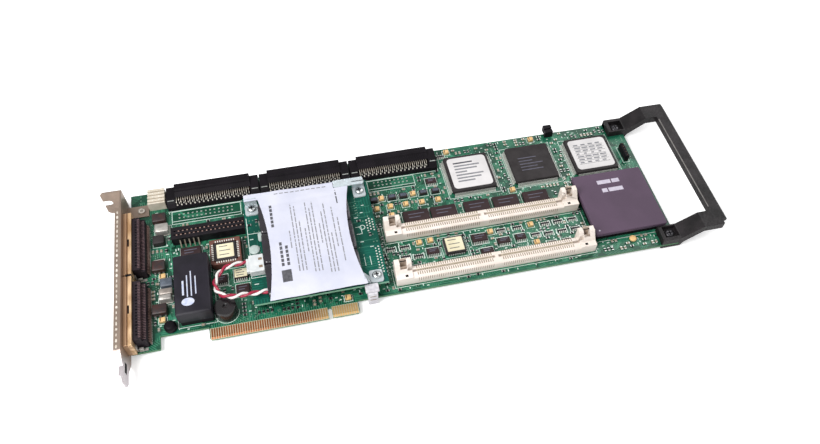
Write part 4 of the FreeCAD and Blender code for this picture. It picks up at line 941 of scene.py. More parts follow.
for number in (1, 2, 3):
    flatPack(f"controller_chip_{number}")
smallOutline("cache_chips", 1.27, 0.56)
smallOutline("logic_chips", 1.1, 0.5)
smallOutline("clock_chip", 1.1, 0.5)
timingChip()

labels = {
    "wide": 15,                                           # wider ones are white and round at the corners
    "share": (0.5, 0.66, 0.58, 0.3, 0.7, 0.62, 0.44),     # length of each line of print
    "columns": (0.12, 0.32, 0.52, 0.72),                  # of the ruled table on the last one
}


def addLabels():
    boxes = solidBoxes("chip_labels", 0)
    white, cream, pale, dark = [], [], [], []
    for n, (low, high) in enumerate(boxes):
        x0, y0, z0, x1, y1, _ = *low, *high
        top, wide, deep = z0 + 0.09, x1 - x0, y1 - y0
        large = wide > labels["wide"]
        rows, radius, tall = (7, 2.4, 1.15) if large else (3, 0.3, 0.5)
        (white if large else cream).append(prism(roundRing(x0, y0, x1, y1, z0, radius, 5), (0, 0, top - z0)))
        for k in range(rows):
            y, share = y1 - deep * (0.2 + 0.6 * k / (rows - 1)), labels["share"][k]
            if large and n == len(boxes) - 1:
                pale += [box(x0 + wide * s, y, top, x0 + wide * (s + share * 0.24), y + 1.05, top + skin)
                         for s in labels["columns"]]
                dark.append(box(x0 + wide * 0.09, y - 0.75, top, x1 - wide * 0.09, y - 0.5, top + skin))
            else:
                (pale if large and k else dark).append(
                    box(x0 + wide * 0.14, y, top, x0 + wide * (0.14 + share), y + tall, top + skin))
    addPiece("package_labels", white, "label", replaces="chip_labels")
    addPiece("package_labels_cream", cream, "labelCream")
    addPiece("label_print", pale, "ink")
    addPiece("label_print_dark", dark, "inkDark")


addLabels()


def tantalums():
    bodies, ends, bands = [], [], []
    for low, high in solidBoxes("tantalum_capacitors"):
        x0, y0, z0, x1, y1, z1 = *low, *high
        middle = (y0 + y1) / 2
        bodies.append(moulded(x0 + 0.12, y0, z0 + 0.08, x1 - 0.12, y1, z1, 0.12, 0.12, 0.12))
        ends += [box(x, middle - 1.1, z0, x + 0.3, middle + 1.1, z0 + 1.1) for x in (x0, x1 - 0.3)]
        bands.append(box(x0 + 0.5, y0 + 0.2, z1 - 0.01, x0 + 1.05, y1 - 0.2, z1 + skin))
    addPiece("tantalum_bodies", bodies, "tantalum", 35, "tantalum_capacitors")
    addPiece("tantalum_ends", ends, "solder")
    addPiece("tantalum_bands", bands, "copperBrown")


def inductors():
    bodies, tops, ends = [], [], []
    for low, high in solidBoxes("power_inductors"):
        x0, y0, z0, x1, y1, z1 = *low, *high
        bodies.append(moulded(x0 + 0.1, y0, z0 + 0.1, x1 - 0.1, y1, z1 - 0.05, 0.2, 0.15, 0.25))
        lid = roundRing(x0 + 0.75, y0 + 0.55, x1 - 0.75, y1 - 0.55, z1 - 0.06, 0.4, 3)
        tops.append(prism(lid, (0, 0, 0.06)))
        ends += [box(x, y0 + 0.6, z0, x + 0.35, y1 - 0.6, z0 + 1.3) for x in (x0, x1 - 0.35)]
    addPiece("inductor_bodies", bodies, "package", 35, "power_inductors")
    addPiece("inductor_tops", tops, "ferrite")
    addPiece("inductor_ends", ends, "solder")


def resistorPacks():     # four tinned ends on each long side, each on its pad
    bodies, ends = [], []
    for low, high in solidBoxes("resistor_packs"):
        x0, y0, z0, x1, y1, z1 = *low, *high
        bodies.append(moulded(x0, y0 + 0.12, z0 + 0.05, x1, y1 - 0.12, z1, 0.05, 0.08, 0.08))
        for x in np.linspace(x0 + 0.35, x1 - 0.95, 4):
            for y, pad in ((y0 - 0.2, y0 - 0.7), (y1 - 0.3, y1 - 0.1)):
                ends.append(box(x, y, z0, x + 0.7, y + 0.5, z1 - 0.04))
                ends.append(box(x, pad, z0, x + 0.7, pad + 0.8, z0 + 0.08))
    addPiece("resistor_pack_bodies", bodies, "resistor", 35, "resistor_packs")
    addPiece("resistor_pack_ends", ends, "lead")


def regulators():     # thick moulding on a tinned tab, three short leads in front
    bodies, tabs, leads = [], [], []
    for low, high in solidBoxes("terminator_regulators", 2):
        if high[2] - low[2] < 1.0:
            tabs.append(box(*low, *high))
            continue
        bodies.append(moulded(*low, *high, draft=0.35, edge=0.3, radius=0.4))
        leads += [repeat(gullWing(0.9, 1.4, 0.9, 0.3), (x, low[1] + 0.1, 0), 180)
                  for x in np.linspace(low[0] + 1.3, high[0] - 1.3, 3)]
    addPiece("regulator_bodies", bodies, "regulator", 35, "terminator_regulators")
    addPiece("regulator_tabs", tabs, "can")
    addPiece("regulator_leads", leads, "solder")


def cansAndBlocks():
    lids = []
    for low, high in solidBoxes("crystal_cans"):     # flange, wall and cap: height, inset and corner radius
        z, top = low[2], high[2]
        levels = [(z, 0, 0.8), (z + 0.5, 0, 0.8), (z + 0.55, 0.35, 0.7), (top - 0.35, 0.35, 0.7),
                  (top, 0.7, 0.5)]
        lids.append(stacked([roundRing(low[0] + d, low[1] + d, high[0] - d, high[1] - d, z, radius)
                             for z, d, radius in levels]))
    addPiece("crystal_can_shells", lids, "can", 50, "crystal_cans")
    for n, (low, high) in enumerate(solidBoxes("suppressor_blocks", 1)):
        shade = ("silverBlock", "blueGreyBlock", "package")[n]
        addPiece(f"suppressor_block_{n + 1}", moulded(*low, *high, draft=0.2, edge=0.3, radius=0.4), shade,
                 40, None if n else "suppressor_blocks")
    middle, r, top = roundSpan("round_choke")
    dome = lathe([(r * 0.94, 0), (r, 0.4), (r, top * 0.62), (r * 0.9, top * 0.82), (r * 0.7, top * 0.96),
                  (r * 0.45, top)], 28)
    addPiece("choke_dome", repeat(dome, (*middle[:2], boardTop)), "blackPbt", 35, "round_choke")
    middle, r, top = roundSpan("disc_capacitor")
    pill = lathe([(r * 0.8, 0), (r, 0.4), (r, 1.2), (r * 0.8, 1.75), (r * 0.4, top)], 24)
    addPiece("disc_capacitor_body", repeat(pill, (*middle[:2], boardTop)), "tantalum", 50,
             "disc_capacitor")


tantalums()
inductors()
resistorPacks()
regulators()
cansAndBlocks()
print("packages made")

# CAD solids that need rounded edges and no more: width in millimetres, finish, slot, nodes
easedNodes = [
    (0.16, "bracket", "bracket_steel", "slot_bracket"),
    (0.24, "brass", "shell_brass", "port_shell_lower", "port_shell_upper"),
    (0.2, "housing", "black_moulding", "port_housing_lower", "port_housing_upper"),
    (0.18, "postSteel", "post_steel", "jack_posts"),
    (0.2, "postSteel", "post_steel", "deck_posts"),
    (0.22, "blackPbt", "black_moulding", "drive_header_1", "drive_header_2", "drive_header_3"),
    (0.28, "cream", "socket_cream", "memory_socket_1", "memory_socket_2"),
    (0.12, "latch", "latch_steel", "socket_latches"),
    (0.3, "blackPbt", "black_moulding", "processor_socket"),
    (0.25, "blackPbt", "black_moulding", "module_socket", "jumper_block", "test_header"),
    (0.3, "brown", "socket_brown", "chip_socket"),
    (0.2, "nylonCream", "white_nylon", "drive_lamp_header"),
    (0.2, "blackGloss", "black_moulding", "expansion_header"),
    (0.08, "wire", "contact_metal", "expansion_header_tails"),
    (0.3, "nylon", "white_nylon", "battery_socket"),
]
for width, shade, slot, *nodes in easedNodes:
    for node in nodes:
        eased(node, width, shade)
eased("card_handle", 0.7, "handle", 3)
print("edges rounded")

# wires bend out of each drive header's block, under a moulded guide, and drop into its tray
header = {
    "pitch": 1.27,
    "tray": 2.4,                                 # height of the tray's floor
    "back": 5.4,                                 # the wires start this far in from the block's far side
    "guide": [(0, 7.1), (-1.0, 7.0), (-3.6, 5.7), (-3.6, 4.8), (-1.0, 6.0), (0, 6.0)],
    "outer": (5.6, 1.4, 2.9),                    # height of the outer row, and where its two ranks end
    "inner": (4.2, 4.6),
    "wire": 0.27, "innerWire": 0.3,
}


def bentWire(back, height, foot, level, width, thick=0.34, bend=1.0):
    # leaves the block at a height, bends over a quarter circle and drops to the level; in the YZ plane
    a = np.linspace(0, np.pi / 2, 5)

    def arc(radius, turns):
        return zip(foot + bend - radius * np.sin(turns), height - bend + radius * np.cos(turns))

    side = [(back, height), *arc(bend, a), (foot, level), (foot + thick, level),
            *arc(bend - thick, a[::-1]), (back, height - thick)]
    return alongX(side, -width / 2, width / 2)


def driveHeader(number):
    contacts = f"drive_header_contacts_{number}"
    low, high = span(f"drive_header_{number}")
    far, near = [], []
    for first, last in solidBoxes(contacts, 0):
        (far if first[1] < low[1] + 3.2 else near).append(((first[0] + last[0]) / 2, 0, 0))
    back, tray = high[1] - header["back"], header["tray"]
    comb = [(back + y, z) for y, z in header["guide"]]
    rib = [(y, z + 0.12) for y, z in comb[:3]] + comb[2::-1]
    x0, x1 = low[0] + 5.0, high[0] - 5.0
    ribs = [alongX(rib, x, x + 0.5) for x in np.arange(x0 + 1.4, x1 - 1.2, header["pitch"])]
    addPiece(f"header_wire_guide_{number}", [alongX(comb, x0, x1), *ribs], "blackPbt")
    wires, tips = [], []
    height, *ends = header["outer"]
    for part, end in zip((far[::2], far[1::2]), ends):     # outer wires end by turns in two ranks
        foot = low[1] + end
        wires.append(repeat(bentWire(back, height, foot, tray, header["wire"]), part))
        tip = stacked([roundRing(-0.34, foot - 0.3, 0.34, foot + 0.6, z, 0.1, 2) for z in (tray, tray + 0.7)])
        tips.append(repeat(tip, part))
    height, end = header["inner"]
    # the inner row takes the dark bronze finish: painted shade, for the shadow these wires lie in
    inner = repeat(bentWire(back, height, low[1] + end, tray, header["innerWire"]), near)
    addPiece(f"header_inner_wires_painted_shade_{number}", inner, "copperBrown", 40)
    addPiece(f"header_wires_{number}", wires, "headerWire", 40, contacts)
    addPiece(f"header_wire_tips_{number}", tips, "tip")
    ridges = [box(low[0] + 7.4, y, high[2] - 0.02, high[0] - 7.4, y + 0.3, high[2] + 0.06)
              for y in (high[1] - 1.5, high[1] - 3.0)]
    addPiece(f"header_ridges_{number}", ridges, "blackGloss")
    strips = [box(x, low[1] + 2.6, 5.8, x + 3.6, low[1] + 3.2, 5.86) for x in (low[0] + 0.7, high[0] - 4.3)]
    addPiece(f"header_hold_downs_{number}", strips, "solder")
    keel = [box(x, high[1] - 4.8, z, x + 0.7, high[1] - 0.5, z + 0.08)
            for x in np.arange(low[0] + 9, high[0] - 9, header["pitch"]) for z in (4.9, 2.82)]
    addPiece(f"header_mating_contacts_{number}", keel, "gold")


for number in (1, 2, 3):
    driveHeader(number)
print("drive headers made")

bracket = {
    "dimples": np.arange(-2.0, 86.0, 3.3), "dimpleX": -3.3, "dimpleHeight": 0.14,
    "slot": (-1.32, -13.2, 3.6, -1.29, -7.4, 7.0),
}


def dressBracket():
    ys, top = bracket["dimples"], span("slot_bracket")[1][2]
    count = len(ys)
    sizes = np.column_stack([random.uniform(0.5, 0.95, count), random.uniform(1.3, 2.1, count),
                             np.full(count, bracket["dimpleHeight"])])
    dot = lathe([(0.62, -0.02), (0.5, 0.1), (0.25, 0.14)])
    dots = repeat(dot, [(bracket["dimpleX"], y, top) for y in ys], sizes=sizes)
    # the dimples are near white: a painted highlight for the light on the flange's ridge
    addPiece("bracket_stiffening_dimples", dots, "bright", 60)
    # the end slot is a near black box: painted shade
    addPiece("bracket_end_slot", box(*bracket["slot"]), "recessShade")
    middle, r, top = roundSpan("bracket_rivet")
    head = lathe([(r * 0.98, top - 0.35), (r * 0.9, top - 0.1), (r * 0.6, top + 0.05), (r * 0.42, top - 0.12),
                  (r * 0.2, top - 0.2)], 20)
    addPiece("rivet_upset_head", repeat(head, (*middle[:2], 0)), "bright", 40)


# a port's two rows of tails: height, reach behind the housing and shift
port = {"levels": ((3.0, 1.1, 0.0), (2.0, 0.6, 0.5)), "wire": 0.3}


def portPins(name):     # heights up the board of a port's contacts
    low, high = span(f"port_housing_{name}")
    return np.arange(low[1] + 1.4, high[1] - 1.2, 1.0)


def dressPorts():
    tails, joints, latches, tongues, ridges = [], [], [], [], []
    for name in ("lower", "upper"):
        low, high = span(f"port_housing_{name}")
        back, ys, wire = high[0], portPins(name), port["wire"]
        for height, reach, shift in port["levels"]:
            end = back + reach
            side = [(back - 0.2, height), (end - 0.6, height), (end, height - 0.6), (end, 0.0),
                    (end - wire, 0.0), (end - wire, height - 0.7), (end - 0.7, height - wire),
                    (back - 0.2, height - wire)]
            tail = prism([(x, -wire / 2, z) for x, z in side], (0, wire, 0))
            tails.append(repeat(tail, [(0, y + shift, 0) for y in ys]))
            joints.append(repeat(lathe([(0.42, 0.0), (0.36, 0.12), (0.2, 0.3)], 6),
                                 [(end - wire / 2, y + shift, 0) for y in ys]))
        # contact ends laid over the housing's step, from the upper face down to the lower one
        ridge = together(box(-2.1, -0.12, -2.6, -0.15, 0.12, -2.5),
                         box(-2.21, -0.12, -2.6, -2.13, 0.12, 0.0),
                         box(-3.5, -0.12, -0.02, -2.25, 0.12, 0.05))
        ridges.append(repeat(ridge, [(back, y, high[2]) for y in ys]))
        low, high = span(f"port_shell_{name}")
        y = (low[1] + high[1]) / 2
        latches.append(box(1.1, y - 2.5, high[2] - 0.05, 2.0, y + 2.5, high[2] + 0.02))
        for y in (low[1] + 1.2, high[1] - 2.9):     # soldered hold-downs past the ends of the moulding
            tongues += [box(3.3, y, 0.0, 8.6, y + 1.6, 0.4), box(3.3, y, 0.0, 3.8, y + 1.6, 5.6),
                        box(4.4, y + 0.3, 0.0, 6.6, y + 1.3, 2.4)]
    addPiece("port_tails", tails, "pinkTin")
    addPiece("port_tail_joints", joints, "solder", 60)
    addPiece("port_hold_downs", tongues, "can")
    # the latch slots are near black: painted shade
    addPiece("port_latch_slots", latches, "recessShade")
    addPiece("port_housing_ribs", ridges, "tail")
    low, high = span("port_shell_lower")
    upperEdge = span("port_shell_upper")[0][1]
    # the seam between the shells is a near black box: painted shade of the gap
    seam = box(0.0, high[1] - 0.35, 0.4, high[0] - 0.1, upperEdge + 0.35, high[2] + skin)
    addPiece("port_shell_seam", seam, "recessShade")


dressBracket()
dressPorts()
print("bracket and ports made")

# contacts of the memory sockets: pitch, the bare ends and key of the row, and the groove's two walls
socket = {
    "pitch": 1.27, "end": 12.6, "key": 2.4, "walls": ((5.65, -1.0), (4.25, 1.0)),
    "rim": 6.0, "tower": 6.78,
}


def dressSockets():
    slots, springs, lips, towers, wallSlots = [], [], [], [], []
    for node in ("memory_socket_1", "memory_socket_2"):
        low, high = span(node)
        y0, top, rim = low[1], high[2], socket["rim"]
        xs = np.arange(low[0] + socket["end"], high[0] - socket["end"], socket["pitch"])
        xs = xs[np.abs(xs - (low[0] + high[0]) / 2) > socket["key"]]
        for y in (1.8, 6.0):
            places = [(x, y0 + y, 0) for x in xs]
            slots.append(repeat(box(-0.28, 0, rim - 0.03, 0.28, 1.9, rim + 0.02), places))
            springs.append(repeat(box(-0.13, 0.5, rim, 0.13, 1.4, rim + 0.05), places))
        wallSlots.append(repeat(box(-0.16, -0.015, 2.6, 0.16, 0.2, 5.5), [(x, y0, 0) for x in xs]))
        for y, side in socket["walls"]:     # sprung contacts bulge into the groove from both walls
            bulge = [(0.0, 3.0), (0.6 * side, 4.9), (0.42 * side, 5.85), (0.05 * side, 5.85)]
            lips.append(repeat(alongX(bulge, -0.36, 0.36), [(x, y0 + y, 0) for x in xs]))
        z = socket["tower"]
        towers += [box(x, y0 + 1.0, z, x + 1.6, y0 + 2.4, z + 0.05) for x in (low[0] + 5.2, high[0] - 6.8)]
        towers += [box(x, y0 + 8.2, top - 0.02, x + 3.7, y0 + 8.8, top + 0.02)
                   for x in (low[0] + 3.1, high[0] - 6.8)]
    # the slots are painted a darker tan: painted shade inside them
    addPiece("socket_contact_slots", slots, "slotShade")
    addPiece("socket_wall_slots", wallSlots, "wallSlot")
    addPiece("socket_contact_springs", springs, "wire")
    addPiece("socket_groove_springs", lips, "lip")
    # the towers' slots are near black: painted shade
    addPiece("socket_tower_slots", towers, "recessShade")


dressSockets()
print("memory sockets made")

# words on the processor's lid become bars: x, y and width from its corner
processor = {
    "words": ((14.0, 35.6, 8.6), (23.4, 35.6, 4.8), (15.0, 29.2, 3.4), (19.2, 29.2, 9.2)),
    "tall": 2.9,
}


def dressProcessor():
    low, high = span("processor")
    top = high[2]
    levels = [(low[2], 0.35), (low[2] + 0.3, 0.0), (top - 0.3, 0.0), (top, 0.3)]
    plate = tiered(*low[:2], *high[:2], levels, 0.9)
    addPiece("processor_package", plate, "ceramic", 35, "processor")
    dot = repeat(lathe([(0.5, top - 0.01), (0.5, top + skin)], 14), (low[0] + 2.6, low[1] + 2.6, 0))
    addPiece("processor_mark", dot, "inkLilac")
    bars = [box(low[0] + x, low[1] + y, top, low[0] + x + w, low[1] + y + processor["tall"], top + skin)
            for x, y, w in processor["words"]]
    addPiece("processor_print", bars, "inkLilac")
    low, high = span("processor_socket")
    xs = np.arange(low[0] + 2.2, high[0] - 2.0, 2.54)
    ribs = [repeat(box(-0.5, -inside, low[2] + 0.8, 0.5, outside, high[2] - 0.6), [(x, y, 0) for x in xs])
            for y, inside, outside in ((high[1], 0.02, 0.05), (low[1], 0.05, 0.02))]
    # these ribs are near black: painted shade on the socket's sides
    addPiece("processor_socket_ribs", ribs, "recessShade")


# print on the sealed module: bars at x, y of a given width up to another y, and a disc
module = {
    "bars": ((29.4, 22.8, 1.0, 32.0), (31.8, 21.4, 0.6, 35.2), (33.9, 21.6, 0.6, 37.6),
             (36.2, 22.6, 0.6, 34.0)),
    "disc": (32.2, 18.4),
}


def dressModule():
    low, high = span("memory_module")
    top = high[2]
    addPiece("memory_module_case", moulded(*low, *high, draft=0.3, edge=0.5, radius=0.9), "moduleCase",
             40, "memory_module")
    prints = [box(x, y0, top, x + w, y1, top + 0.014) for x, y0, w, y1 in module["bars"]]
    disc = lathe([(2.9, 0.0), (2.9, 0.014)], 26)
    prints.append(repeat(disc, (*module["disc"], top), sizes=(1.15, 0.85, 1.0)))
    addPiece("memory_module_print", prints, "inkPale")
    low, high = span("module_socket")
    ys = np.arange(low[1] + 2, high[1] - 1, 2.54)
    pins = [repeat(box(0, -0.25, 0, 0.2, 0.25, 1.6), [(x, y, 0) for y in ys])
            for x in (low[0] - 0.25, high[0] + 0.05)]
    addPiece("module_socket_pins", pins, "solder")


def dressSocketedChip():
    low, high = span("socketed_chip")
    body = moulded(*low, *high, draft=0.22, edge=0.18, radius=0.4)
    addPiece("socketed_chip_body", body, "package", 35, "socketed_chip")
    lead = stacked([roundRing(-0.38, y0, 0.38, y1, z, 0.12, 2) for z, y0, y1 in
                    ((1.8, 0.0, 0.5), (3.4, -0.1, 0.55), (4.3, 0.25, 0.75))])
    addPiece("socketed_chip_leads", repeat(lead, *sideRows(low, high, 1.27, 8)), "tip")
    low, high = span("chip_socket")     # a sprung contact shows in each slit along its well
    rows = sideRows(low, high, 1.27, 9, z=high[2])
    slits = repeat(box(-0.4, -2.12, -0.02, 0.4, -0.75, 0.012), *rows)
    # the slits are near black: painted shade in the well
    addPiece("chip_socket_slits", slits, "recessShade")
    fingers = repeat(box(-0.27, -2.1, -0.02, 0.27, -0.95, 0.024), *rows)
    addPiece("chip_socket_fingers", fingers, "tip")


def dressBuzzer():     # turned can with a sound hole
    middle, r, top = roundSpan("buzzer")
    can = lathe([(r * 0.96, 0), (r, 0.3), (r, top - 0.6), (r * 0.96, top - 0.15), (r * 0.88, top),
                 (r * 0.24, top), (r * 0.19, top - 0.15), (r * 0.18, top - 1.1)], 40)
    addPiece("buzzer_can", repeat(can, (*middle[:2], boardTop)), "buzzerAbs", 35, "buzzer")


def dressSmallHeaders():
    low, high = span("drive_lamp_header")
    pins = [box(x - 0.3, y - 0.3, 1.0, x + 0.3, y + 0.3, high[2] + 0.02)
            for x in (low[0] + 3.0, low[0] + 6.6) for y in np.arange(low[1] + 2.77, high[1] - 1, 2.54)]
    addPiece("lamp_header_contacts", pins, "tip")
    low, high = span("expansion_header")
    dots = [box(x - 0.34, low[1] + y - 0.34, 4.6, x + 0.34, low[1] + y + 0.34, high[2] - 0.3)
            for y, shift in ((2.9, 0.0), (5.5, 1.2))
            for x in np.arange(low[0] + 3.2, high[0] - 3.4, 2.4) + shift]
    addPiece("expansion_header_contacts", dots, "pinkTin")
    low, high = span("test_header")
    tips = [box(low[0] + 1.1, y, high[2] - 0.02, low[0] + 1.5, y + 0.4, high[2] + 0.5)
            for y in np.arange(low[1] + 1.0, high[1] - 1.0, 2.3)]
    addPiece("test_header_pins", tips, "copperBrown")


dressProcessor()
dressModule()
dressSocketedChip()
dressBuzzer()
dressSmallHeaders()
print("processor and left parts made")

# the raised battery board
deck = {
    "viaRanks": 22, "viaPitch": 1.9, "snapPost": (69.0, 47.0, 3.4),
    "pins": ((47.5, 56.5, 3), (18.5, 36.0, 2)),       # y from and to, and columns, along its right edge
    "parts": (((129.2, 55.0), 0), ((134.0, 44.4), 90), ((71.8, 66.8), 90), ((67.6, 64.6), 0)),
    "marks": ((127.0, 57.6, 2.2), (131.0, 60.8, 1.6), (127.8, 40.2, 1.8), (132.6, 36.0, 2.0),
              (67.0, 54.4, 2.0), (66.8, 24.2, 2.4), (132.6, 66.0, 1.6)),
    "cellSocket": (63, 74.6, 28, 42.5),               # x and y that the battery's socket takes
    "screwClear": 5.6, "bareY": (12.6, 84),
}


def isBareDeck(x, y):     # clear of the snap post, the battery socket, the screws and the edges
    postX, postY, reach = deck["snapPost"]
    x0, x1, y0, y1 = deck["cellSocket"]
    if np.hypot(x - postX, y - postY) < reach or (x0 < x < x1 and y0 < y < y1):
        return False
    if min(np.hypot(x - a, y - b) for a, b in deckScrews) < deck["screwClear"]:
        return False
    bottom, top = deck["bareY"]
    return deckLow[0] + rim < x < deckHigh[0] - rim and bottom < y < top


def dressDeck():
    low, high = deckLow, deckHigh
    top = high[2]
    z, places = top + 0.05, []
    for _ in range(deck["viaRanks"]):
        left = random.random() < 0.25     # of the battery, or else right of it
        x = random.uniform(66.5, 72.5) if left else random.uniform(126, 137.6)
        y = random.uniform(13, 83)
        step = eitherWay(0.6, deck["viaPitch"])[::-1]
        rank = [(x + step[0] * k, y + step[1] * k, top) for k in range(random.integers(1, 6))]
        places += [place for place in rank if isBareDeck(*place[:2])]
    addPiece("battery_board_vias", repeat(viaRing(0.38, 0.05, (0.18, 0.14)), places), "pad")
    pins = [(high[0] - 1.5 - 1.7 * column, y, top) for first, last, columns in deck["pins"]
            for column in range(columns) for y in np.arange(first + 0.9 * (column % 2), last, 1.9)]
    addPiece("battery_board_pins", repeat(lathe([(0.5, 0.0), (0.42, 0.1), (0.0, 0.22)], 8), pins), "lead")
    lines = [inkLine([(low[0] + 0.8, 58.5), (low[0] + 8.4, 58.5)], z),
             inkLine([(low[0] + 0.9, 44), (low[0] + 0.9, 70)], z), frameLine(65.7, 28.6, 74.2, 42.0, z),
             inkLine([(128.0, 84.2), (137.8, 84.2)], z),
             inkLine([(126.6, 46), (129.8, 46), (129.8, 51), (126.6, 51)], z),
             circleLine(130.6, 50.4, 1.5, steps=14, z=z)]
    lines += [inkLine([(x, 24.0), (x, 30.0)], z) for x in (128.0, 131.2)]
    lines += [box(x, y, top, x + w, y + 0.4, z) for x, y, w in deck["marks"]]
    addPiece("battery_board_outlines", lines, "silk")
    places, turns = [(*place, top) for place, turn in deck["parts"]], [turn for place, turn in deck["parts"]]
    bodies = repeat(box(-0.75, -0.6, 0.02, 0.75, 0.6, 0.8), places, turns)
    addPiece("battery_board_parts", bodies, "resistor")
    ends = repeat(partEnds(0.72, 1.15, 0, 0.82), places, turns)
    addPiece("battery_board_part_ends", ends, "solder")
    copper = []
    for y in np.arange(20, 74, 1.5):
        if random.random() < 0.25:
            x0, x1 = random.uniform(124, 128), random.uniform(130, 137)
            copper.append(inkLine([(x0, y), (x1, y), (x1 + 0.6, y + 0.6)], top + 0.03, 0.4))
    addPiece("battery_board_tracks", copper, "deckCopper")


cell = {"pitch": 20.8, "half": 10.4, "power": 0.4, "ripple": 0.008}     # three of them side by side


def dressPack():
    low, high = span("battery_pack")
    tall, half = (high[2] - low[2]) / 2, cell["half"]
    a = np.linspace(0, 2 * np.pi, 33)[:-1]
    c, s = np.cos(a), np.sin(a)
    # flattened round cell: the super-ellipse (half |cos a|^power, tall |sin a|^power) with the signs of
    # cos a and sin a, in the YZ plane
    ring = np.stack([np.zeros(32), half * np.sign(c) * abs(c) ** cell["power"],
                     tall * np.sign(s) * abs(s) ** cell["power"]], 1)
    rows = [(low[0], 0.9), (low[0] + 0.5, 0.985), (high[0] - 0.5, 0.985), (high[0], 0.9)]
    waves = np.linspace(low[0] + 1.6, high[0] - 1.6, 9)
    rows[2:2] = [(x, 1.0 - cell["ripple"] * (k % 2)) for k, x in enumerate(waves)]
    cells = [stacked([ring * size + (x, low[1] + cell["pitch"] * n + half, low[2] + tall)
                      for x, size in rows]) for n in range(3)]
    addPiece("battery_cells", cells, "sleeve", 60, "battery_pack")
    levels = [(10.0, 0.1), (10.2, 0), (10.9, 0), (11.1, 0.1)]
    lug = tiered(low[0] - 1.9, 50.6, low[0] + 2.4, 56.8, levels, 1.3)
    addPiece("battery_lug", lug, "frosted", 40)
    strips = [box(low[0] - 0.5, y, 9.2, low[0] + 0.3, y + 3.2, 11.8) for y in (29.6, 60.8)]
    addPiece("cell_strips", strips, "can")


cover = {
    "low": 9.4, "shoulder": 77.6, "high": 82.2,     # lower edge, the fold of the top strip, its far edge
    "left": (74.4, 78.0), "right": (126.8, 122.4),  # x of each side at its corners and at its waist
    "strip": (66.6, 118.4),                         # the printed film on the strip; clear beyond
    "clearStrip": (118.6, 77.7, 136.4, 82.8),
    "film": 0.22,                                   # thickness
    "sag": 0.26,                                    # depth of the waves
    "crease": (0.25, 71.5, 0.05, 1.3),              # under the strip: depth, y, slant and half width
    "fold": (0.16, 16.6, 0.07),                     # lower fold: fall per millimetre past it, y and slant
    # lines of small print, run up the sheet: x, y from and to
    "lines": [(89.4, 40, 52), (91.8, 24, 71), (93.7, 24, 69), (95.6, 24, 58), (98.2, 36, 52),
              (100.2, 22, 70), (102.1, 22, 66), (104.0, 22, 70), (106.5, 40, 54), (108.5, 20, 62),
              (110.4, 20, 68), (112.3, 20, 46), (114.6, 36, 64), (117.0, 26, 56)],
    "blocks": ((83.0, 29.0, 44.0), (86.0, 29.0, 42.0), (80.2, 56.0, 71.0)),     # columns of dark blocks
}


def coverEdge(y, corner, waist):     # a waisted side: circular arc through its corners and its waist
    half, middle = (cover["shoulder"] - cover["low"]) / 2, (cover["shoulder"] + cover["low"]) / 2
    rise = waist - corner
    radius = (half ** 2 + rise ** 2) / (2 * abs(rise))
    return corner + np.sign(rise) * (np.sqrt(radius ** 2 - (y - middle) ** 2) - (radius - abs(rise)))


def sheetHeight(x, y):
    # film over three cells: top - sag (2 + sum of two crossing sine waves) / 2 - depth e^(-(d / wide)^2)
    # at a distance d from the slanted crease - a steady fall past the slanted lower fold
    top = span("battery_cover")[1][2]
    waves = np.sin(0.13 * x + 0.24 * y) + np.sin(0.36 * x - 0.11 * y + 1.0)
    depth, creaseY, slant, wide = cover["crease"]
    crease = depth * np.exp(-((y - creaseY - slant * (x - 74)) / wide) ** 2)
    fall, foldY, slant = cover["fold"]
    fold = np.maximum(foldY - slant * (x - 74) - y, 0.0)
    return top - 0.02 - cover["sag"] * (2 + waves) / 2 - crease - fall * fold


def filmPatch(left, right, ys, columns=44):
    # point (u, v) is at x = left(v) + u (right(v) - left(v)) and the sheet's height, its lower face a
    # film's thickness below
    x = left[:, None] + (right - left)[:, None] * np.linspace(0, 1, columns)[None]
    y = np.broadcast_to(ys[:, None], x.shape)
    upper = np.stack([x, y, sheetHeight(x, y)], 2)
    lower = upper - np.array([0, 0, cover["film"]])
    return stacked(np.concatenate([upper, lower[:, ::-1]], 1))


def onSheet(x0, y0, x1, y1):     # a printed bar that follows the sheet, in steps under 3 mm
    ys = np.linspace(y0, y1, max(2, int((y1 - y0) / 1.5) + 1))
    z0, z1 = sheetHeight(x0, ys), sheetHeight(x1, ys)
    rings = [[(x0, y, a - 0.05), (x1, y, b - 0.05), (x1, y, b + 0.014), (x0, y, a + 0.014)]
             for y, a, b in zip(ys, z0, z1)]
    return stacked(rings)


def coverFoot(x, y, top, upright):     # pad under a screw, and the wall or slope that joins it to the sheet
    base = deckHigh[2]
    pad = tiered(x - 3.9, y - 4.2, x + 3.5, y + 3.7, [(base, 0), (base + 0.8, 0)], 1.2)
    if upright:
        return [pad, box(x - 3.7, y + 3.1, base + 0.1, x + 3.3, y + 3.7, top)]
    side = [(x - 3.9, base + 0.1), (x - 3.9, base + 0.8), (125.4, top - 0.1), (125.4, top - 0.5),
            (x - 4.6, base)]
    return [pad, prism([(px, y - 4.2, z) for px, z in side], (0, 4.2, 0))]


